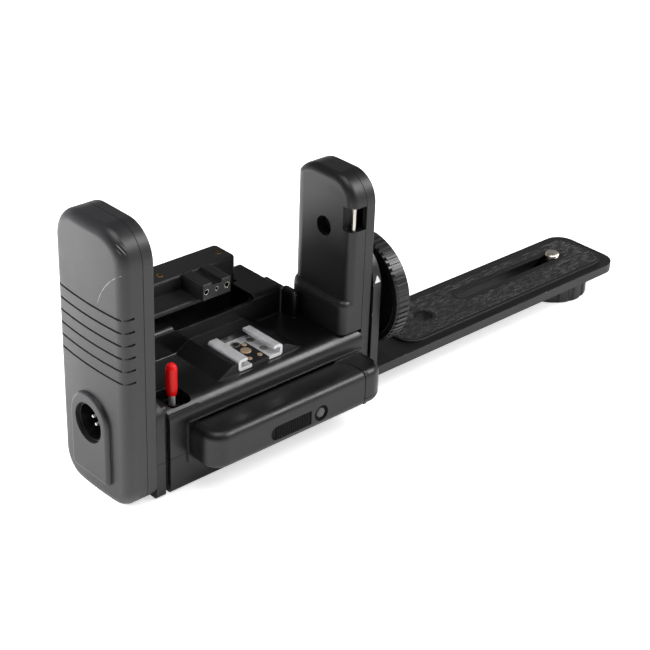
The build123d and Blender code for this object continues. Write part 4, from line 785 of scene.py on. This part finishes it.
class BRACKET_OT_terminals(bpy.types.Operator):
    """Finish the terminal box and the connector, and add the cross-head screws"""
    bl_idname = "bracket.terminals"
    bl_label = "Terminal box"

    def execute(self, context):
        colours = context.scene.bracket_colours
        # ABS moulded in a coarse spark-eroded tool: its flat top looks grey in a raking light
        dress(moulded("moulded_abs_box_coarse", colours.box, 0.5, 0.8, 0.06), "terminal_box")
        # Nylon moulded smooth: sharp edges with a thin gloss on them
        dress(moulded("moulded_nylon_connector", colours.connector, 0.36, 0.5, 0.015),
              "connector_block")
        # Turned brass, bright nickel plate: fine shining rings round the holes
        dress(plated("nickel_plated_sleeves", colours.plate, 0.22), "connector_sleeves")
        # Steel, yellow passivated over zinc: warm, slightly dull
        yellow = plated("yellow_passivated_steel", colours.brass, 0.34, blotch=0.25)
        cross_screws("cross_box_screws", BOX_SCREWS, BOX_SCREW_SIZES, True, yellow,
                     "box_screws")
        # Steel, black oxide: dark grey with a soft sheen
        black = plated("black_oxide_steel", srgb("#2b2b2d"), 0.4)
        cross_screws("cross_base_screws", BASE_SCREWS, BASE_SCREW_SIZES, False, black,
                     "shell_screws")
        dress(black, "grip_screws", "upright_screws")
        return {"FINISHED"}


class BRACKET_OT_toggle(bpy.types.Operator):
    """Finish the toggle switch and its red sleeve"""
    bl_idname = "bracket.toggle"
    bl_label = "Toggle switch"

    def execute(self, context):
        # Turned brass, satin nickel plate: a pale stem under the sleeve
        dress(plated("nickel_plated_brass", srgb("#f4f4f4"), 0.42, metal=0.7), "toggle_lever")
        # Brass, black chrome: a dark ring that hardly shows in its pocket
        dress(plated("black_chromed_nut", srgb("#1b1b1c"), 0.3), "toggle_nut")
        # Steel case, black zinc: dark with a faint metal sheen
        dress(plated("black_zinc_case", srgb("#252527"), 0.35), "toggle_body")
        # Plasticised PVC, dip moulded: the only strong colour on the object
        dress(dipped("dip_moulded_pvc_red", context.scene.bracket_colours.sleeve), "lever_sleeve")
        return {"FINISHED"}


class BRACKET_OT_pivot_dial(bpy.types.Operator):
    """Finish the clamping dial and what it clamps with"""
    bl_idname = "bracket.pivot_dial"
    bl_label = "Clamping dial"

    def execute(self, context):
        colours = context.scene.bracket_colours
        # ABS moulded satin: ribs that are rubbed bright along their crests
        dress(moulded("moulded_abs_dial", colours.dial, 0.36, 0.5, 0.015, wear=2.4), "lock_dial",
              "camera_knob", "dial_cap")
        # Free-cutting steel as turned: fine rings of light
        dress(plated("turned_steel_stud", srgb("#9a9b9e"), 0.3), "dial_stud")
        # Brass as turned: the same in yellow
        dress(plated("turned_brass_insert", colours.brass, 0.3), "threaded_insert")
        # Vulcanised fibre: dry brown card
        dress(moulded("vulcanised_fibre", srgb("#4a3424"), 0.6, 0.4, 0.02), "friction_washer")
        return {"FINISHED"}


class BRACKET_OT_arm(bpy.types.Operator):
    """Finish the arm, print its triangle and cover its mat with raised squares and a rim"""
    bl_idname = "bracket.arm"
    bl_label = "Arm and mat"

    def execute(self, context):
        colours = context.scene.bracket_colours
        sizes = context.scene.bracket_sizes
        # Pressed aluminium with baked black enamel: smooth orange peel, chipped along the edges
        dress(moulded("baked_enamel_on_aluminium", colours.arm, 0.40, 1.2, 0.012,
                      chips=srgb("#b9b9b8")), "l_bracket")
        # Nitrile rubber as pressed: dull black
        rubber = moulded("pressed_nitrile_rubber", colours.mat, 0.55, 0.5, 0.02, wear=1.2)
        dress(rubber, "arm_mat")
        # Crests of the same rubber, rubbed pale by the cameras that stood on it
        crests = rubbed_crests("rubbed_rubber_crests", colours.mat, srgb("#505052"))
        mesh = grown("mat_chequer", chequer_points(sizes.chequer_pitch / MM), chequer_tree,
                     [("Pitch", "NodeSocketFloat", sizes.chequer_pitch),
                      ("Height", "NodeSocketFloat", sizes.chequer_height),
                      ("Finish", "NodeSocketMaterial", crests)])
        finish_piece("mat_chequer", mesh, "arm")
        finish_piece("mat_slot_lip", mesh_from("mat_slot_lip", *slot_lip()), "arm",
                     rubber)
        # Screen-printed epoxy ink: a thin matt film
        ink = moulded("screen_printed_ink", colours.mark, 0.5, 0.5, 0.004, wear=0.0)
        finish_piece("ear_triangle", mesh_from("ear_triangle", *triangle_film()), "arm",
                     ink)
        return {"FINISHED"}


class BRACKET_OT_camera_screw(bpy.types.Operator):
    """Cut the camera screw's thread and finish its slider"""
    bl_idname = "bracket.camera_screw"
    bl_label = "Camera screw"

    def execute(self, context):
        # Turned steel, bright nickel plate with a warm cast
        nickel = plated("nickel_plated_screw", srgb("#f0e8dc"), 0.42)
        # Steel, black oxide: it hardly shows in the slot
        dress(plated("black_oxide_slider", srgb("#19191a"), 0.4), "screw_slider")
        mesh = mesh_from("camera_thread",
                         *camera_thread(context.scene.bracket_sizes.thread_pitch / MM))
        piece = finish_piece("camera_thread", mesh, "camera_screw", nickel)
        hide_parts("camera_screw")
        return {"FINISHED"}


class BRACKET_OT_inside(bpy.types.Operator):
    """Finish the cells, their holder and contacts, the board and the spring"""
    bl_idname = "bracket.inside"
    bl_label = "Inside of the base"

    def execute(self, context):
        # Shrink sleeve over drawn steel, plain black and glossy
        dress(moulded("shrunk_cell_jacket", srgb("#101012"), 0.3, 0.6, 0.005), "battery_cells")
        # Polystyrene as moulded: a hard, even black
        dress(moulded("moulded_polystyrene_holder", srgb("#161617"), 0.4, 0.6, 0.01),
              "battery_holder")
        # Rolled nickel silver: warm grey strip and wire
        dress(plated("sprung_nickel_silver", srgb("#b8b5ac"), 0.28), "front_contacts",
              "rear_contacts", "button_spring")
        # Epoxy laminate under solder lacquer: an even, glossy green
        dress(moulded("lacquered_epoxy_board", srgb("#1f5133"), 0.3, 1.0, 0.01), "circuit_board")
        return {"FINISHED"}


def seen_by(tree, glossy_share):
    """One for camera and transmission rays, and a share of it for glossy rays."""
    path = add(tree, "ShaderNodeLightPath").outputs
    glossy = add(tree, "ShaderNodeMath", {0: path["Is Glossy Ray"], 1: glossy_share},
                 operation="MULTIPLY")
    first = add(tree, "ShaderNodeMath", {0: path["Is Camera Ray"], 1: path["Is Transmission Ray"]},
                operation="MAXIMUM")
    return add(tree, "ShaderNodeMath", {0: first, 1: glossy}, operation="MAXIMUM")


def add_floor(scene):
    """Pale paper whose shadows are faint near by and which is white from far off."""
    mesh = bpy.data.meshes.new("studio_floor")
    half = FLOOR_HALF
    mesh.from_pydata([(-half, -half, 0), (half, -half, 0), (half, half, 0), (-half, half, 0)],
                     [], [(0, 1, 2, 3)])
    floor = bpy.data.objects.new("studio_floor", mesh)
    scene.collection.objects.link(floor)
    # Uncoated paper: matt, so that nothing is mirrored in it
    material, tree = new_material("seamless_paper")
    place = add(tree, "ShaderNodeTexCoord").outputs["Object"]
    clouds = add(tree, "ShaderNodeTexNoise", blotches(place, FLOOR_CLOUD))
    paper = layered(tree, shade(srgb("#f3f3f1")), [(clouds, shade(srgb("#f7f7f6")))])
    reach = add(tree, "ShaderNodeVectorMath", {0: place}, operation="LENGTH").outputs["Value"]
    fade = add(tree, "ShaderNodeMapRange", span(reach, *FLOOR_FADE))
    strength = add(tree, "ShaderNodeMath", {0: seen_by(tree, FLOOR_GLOSS), 1: fade},
                   operation="MULTIPLY")
    close_material(tree, {"Base Color": paper, "Roughness": 0.9, "Specular IOR Level": 0.0,
                          "Emission Color": (1, 1, 1, 1), "Emission Strength": strength})
    mesh.materials.append(material)


def add_room(scene):
    """White to the camera, a dim room to the object, and graded walls where gloss mirrors them."""
    scene.world = bpy.data.worlds.new("studio_world")
    scene.world.use_nodes = True
    tree = scene.world.node_tree
    toward = add(tree, "ShaderNodeTexCoord").outputs["Generated"]
    height = add(tree, "ShaderNodeSeparateXYZ", {0: toward}).outputs["Z"]
    walls = add(tree, "ShaderNodeMapRange", span(height, *WALL_FADE))
    glossy = add(tree, "ShaderNodeLightPath").outputs["Is Glossy Ray"]
    # Sockets 2 and 3 are the two values that are mixed
    room = add(tree, "ShaderNodeMix", {0: glossy, 2: ROOM_LIGHT, 3: walls})
    level = add(tree, "ShaderNodeMath", {0: seen_by(tree, 0.0), 1: room}, operation="MAXIMUM")
    background = tree.nodes["Background"]
    background.inputs["Color"].default_value = (1, 1, 1, 1)
    tree.links.new(level.outputs[0], background.inputs["Strength"])


def add_lamps(scene):
    """Soft rectangular lamps, none of which the camera sees."""
    for name, place, target, size, power, mirrored in LIGHTS:
        lamp = bpy.data.lights.new(name, "AREA")
        lamp.shape = "RECTANGLE"
        lamp.size, lamp.size_y = size
        lamp.energy = power
        holder = bpy.data.objects.new(name, lamp)
        scene.collection.objects.link(holder)
        holder.location = place
        aim = Vector(target) - Vector(place)
        holder.rotation_euler = aim.to_track_quat("-Z", "Y").to_euler()
        holder.visible_camera = False
        holder.visible_glossy = mirrored


def camera_matrix():
    """The camera's place and turn, from its azimuth, lift and roll."""
    back = Vector((math.sin(CAMERA_TURN) * math.cos(CAMERA_LIFT),
                   -math.cos(CAMERA_TURN) * math.cos(CAMERA_LIFT), math.sin(CAMERA_LIFT)))
    level = Vector((math.cos(CAMERA_TURN), math.sin(CAMERA_TURN), 0.0))
    upright = back.cross(level)
    right = level * math.cos(CAMERA_ROLL) + upright * math.sin(CAMERA_ROLL)
    up = upright * math.cos(CAMERA_ROLL) - level * math.sin(CAMERA_ROLL)
    turn = Matrix((right, up, back)).transposed().to_4x4()
    return Matrix.Translation(CAMERA_PLACE) @ turn


class BRACKET_OT_studio(bpy.types.Operator):
    """Set up the pale floor, the soft lights and the camera"""
    bl_idname = "bracket.studio"
    bl_label = "Studio"

    def execute(self, context):
        scene = context.scene
        add_floor(scene)
        add_room(scene)
        add_lamps(scene)
        camera = bpy.data.cameras.new("camera")
        camera.sensor_width = CAMERA_SENSOR
        camera.lens = CAMERA_LENS
        viewer = bpy.data.objects.new("camera", camera)
        scene.collection.objects.link(viewer)
        viewer.matrix_world = camera_matrix()
        scene.camera = viewer
        scene.view_settings.view_transform = "Standard"
        return {"FINISHED"}


class BRACKET_PT_panel(bpy.types.Panel):
    """Sizes, colours and steps of the bracket"""
    bl_idname = "BRACKET_PT_panel"
    bl_label = "Flash bracket"
    bl_space_type = "VIEW_3D"
    bl_region_type = "UI"
    bl_category = "Bracket"

    def draw(self, context):
        for group in (context.scene.bracket_sizes, context.scene.bracket_colours):
            for name in group.__annotations__:
                self.layout.prop(group, name)
        for operator in OPERATORS:
            self.layout.operator(operator.bl_idname)


OPERATORS = [BRACKET_OT_base_housing, BRACKET_OT_hand_grip, BRACKET_OT_battery_bar,
             BRACKET_OT_hot_shoe, BRACKET_OT_terminals, BRACKET_OT_toggle, BRACKET_OT_pivot_dial,
             BRACKET_OT_arm, BRACKET_OT_camera_screw, BRACKET_OT_inside, BRACKET_OT_studio]
CLASSES = [BracketSizes, BracketColours, *OPERATORS, BRACKET_PT_panel]


def register():
    """Registers the classes and hangs the settings on the scene."""
    for item in CLASSES:
        bpy.utils.register_class(item)
    bpy.types.Scene.bracket_sizes = bpy.props.PointerProperty(type=BracketSizes)
    bpy.types.Scene.bracket_colours = bpy.props.PointerProperty(type=BracketColours)


def unregister():
    """Takes the settings and the classes away again."""
    del bpy.types.Scene.bracket_colours
    del bpy.types.Scene.bracket_sizes
    for item in reversed(CLASSES):
        bpy.utils.unregister_class(item)


def main():
    """Runs every step in order."""
    register()
    for operator in OPERATORS:
        getattr(bpy.ops.bracket, operator.bl_idname.split(".")[1])()


if __name__ == "__main__":
    main()
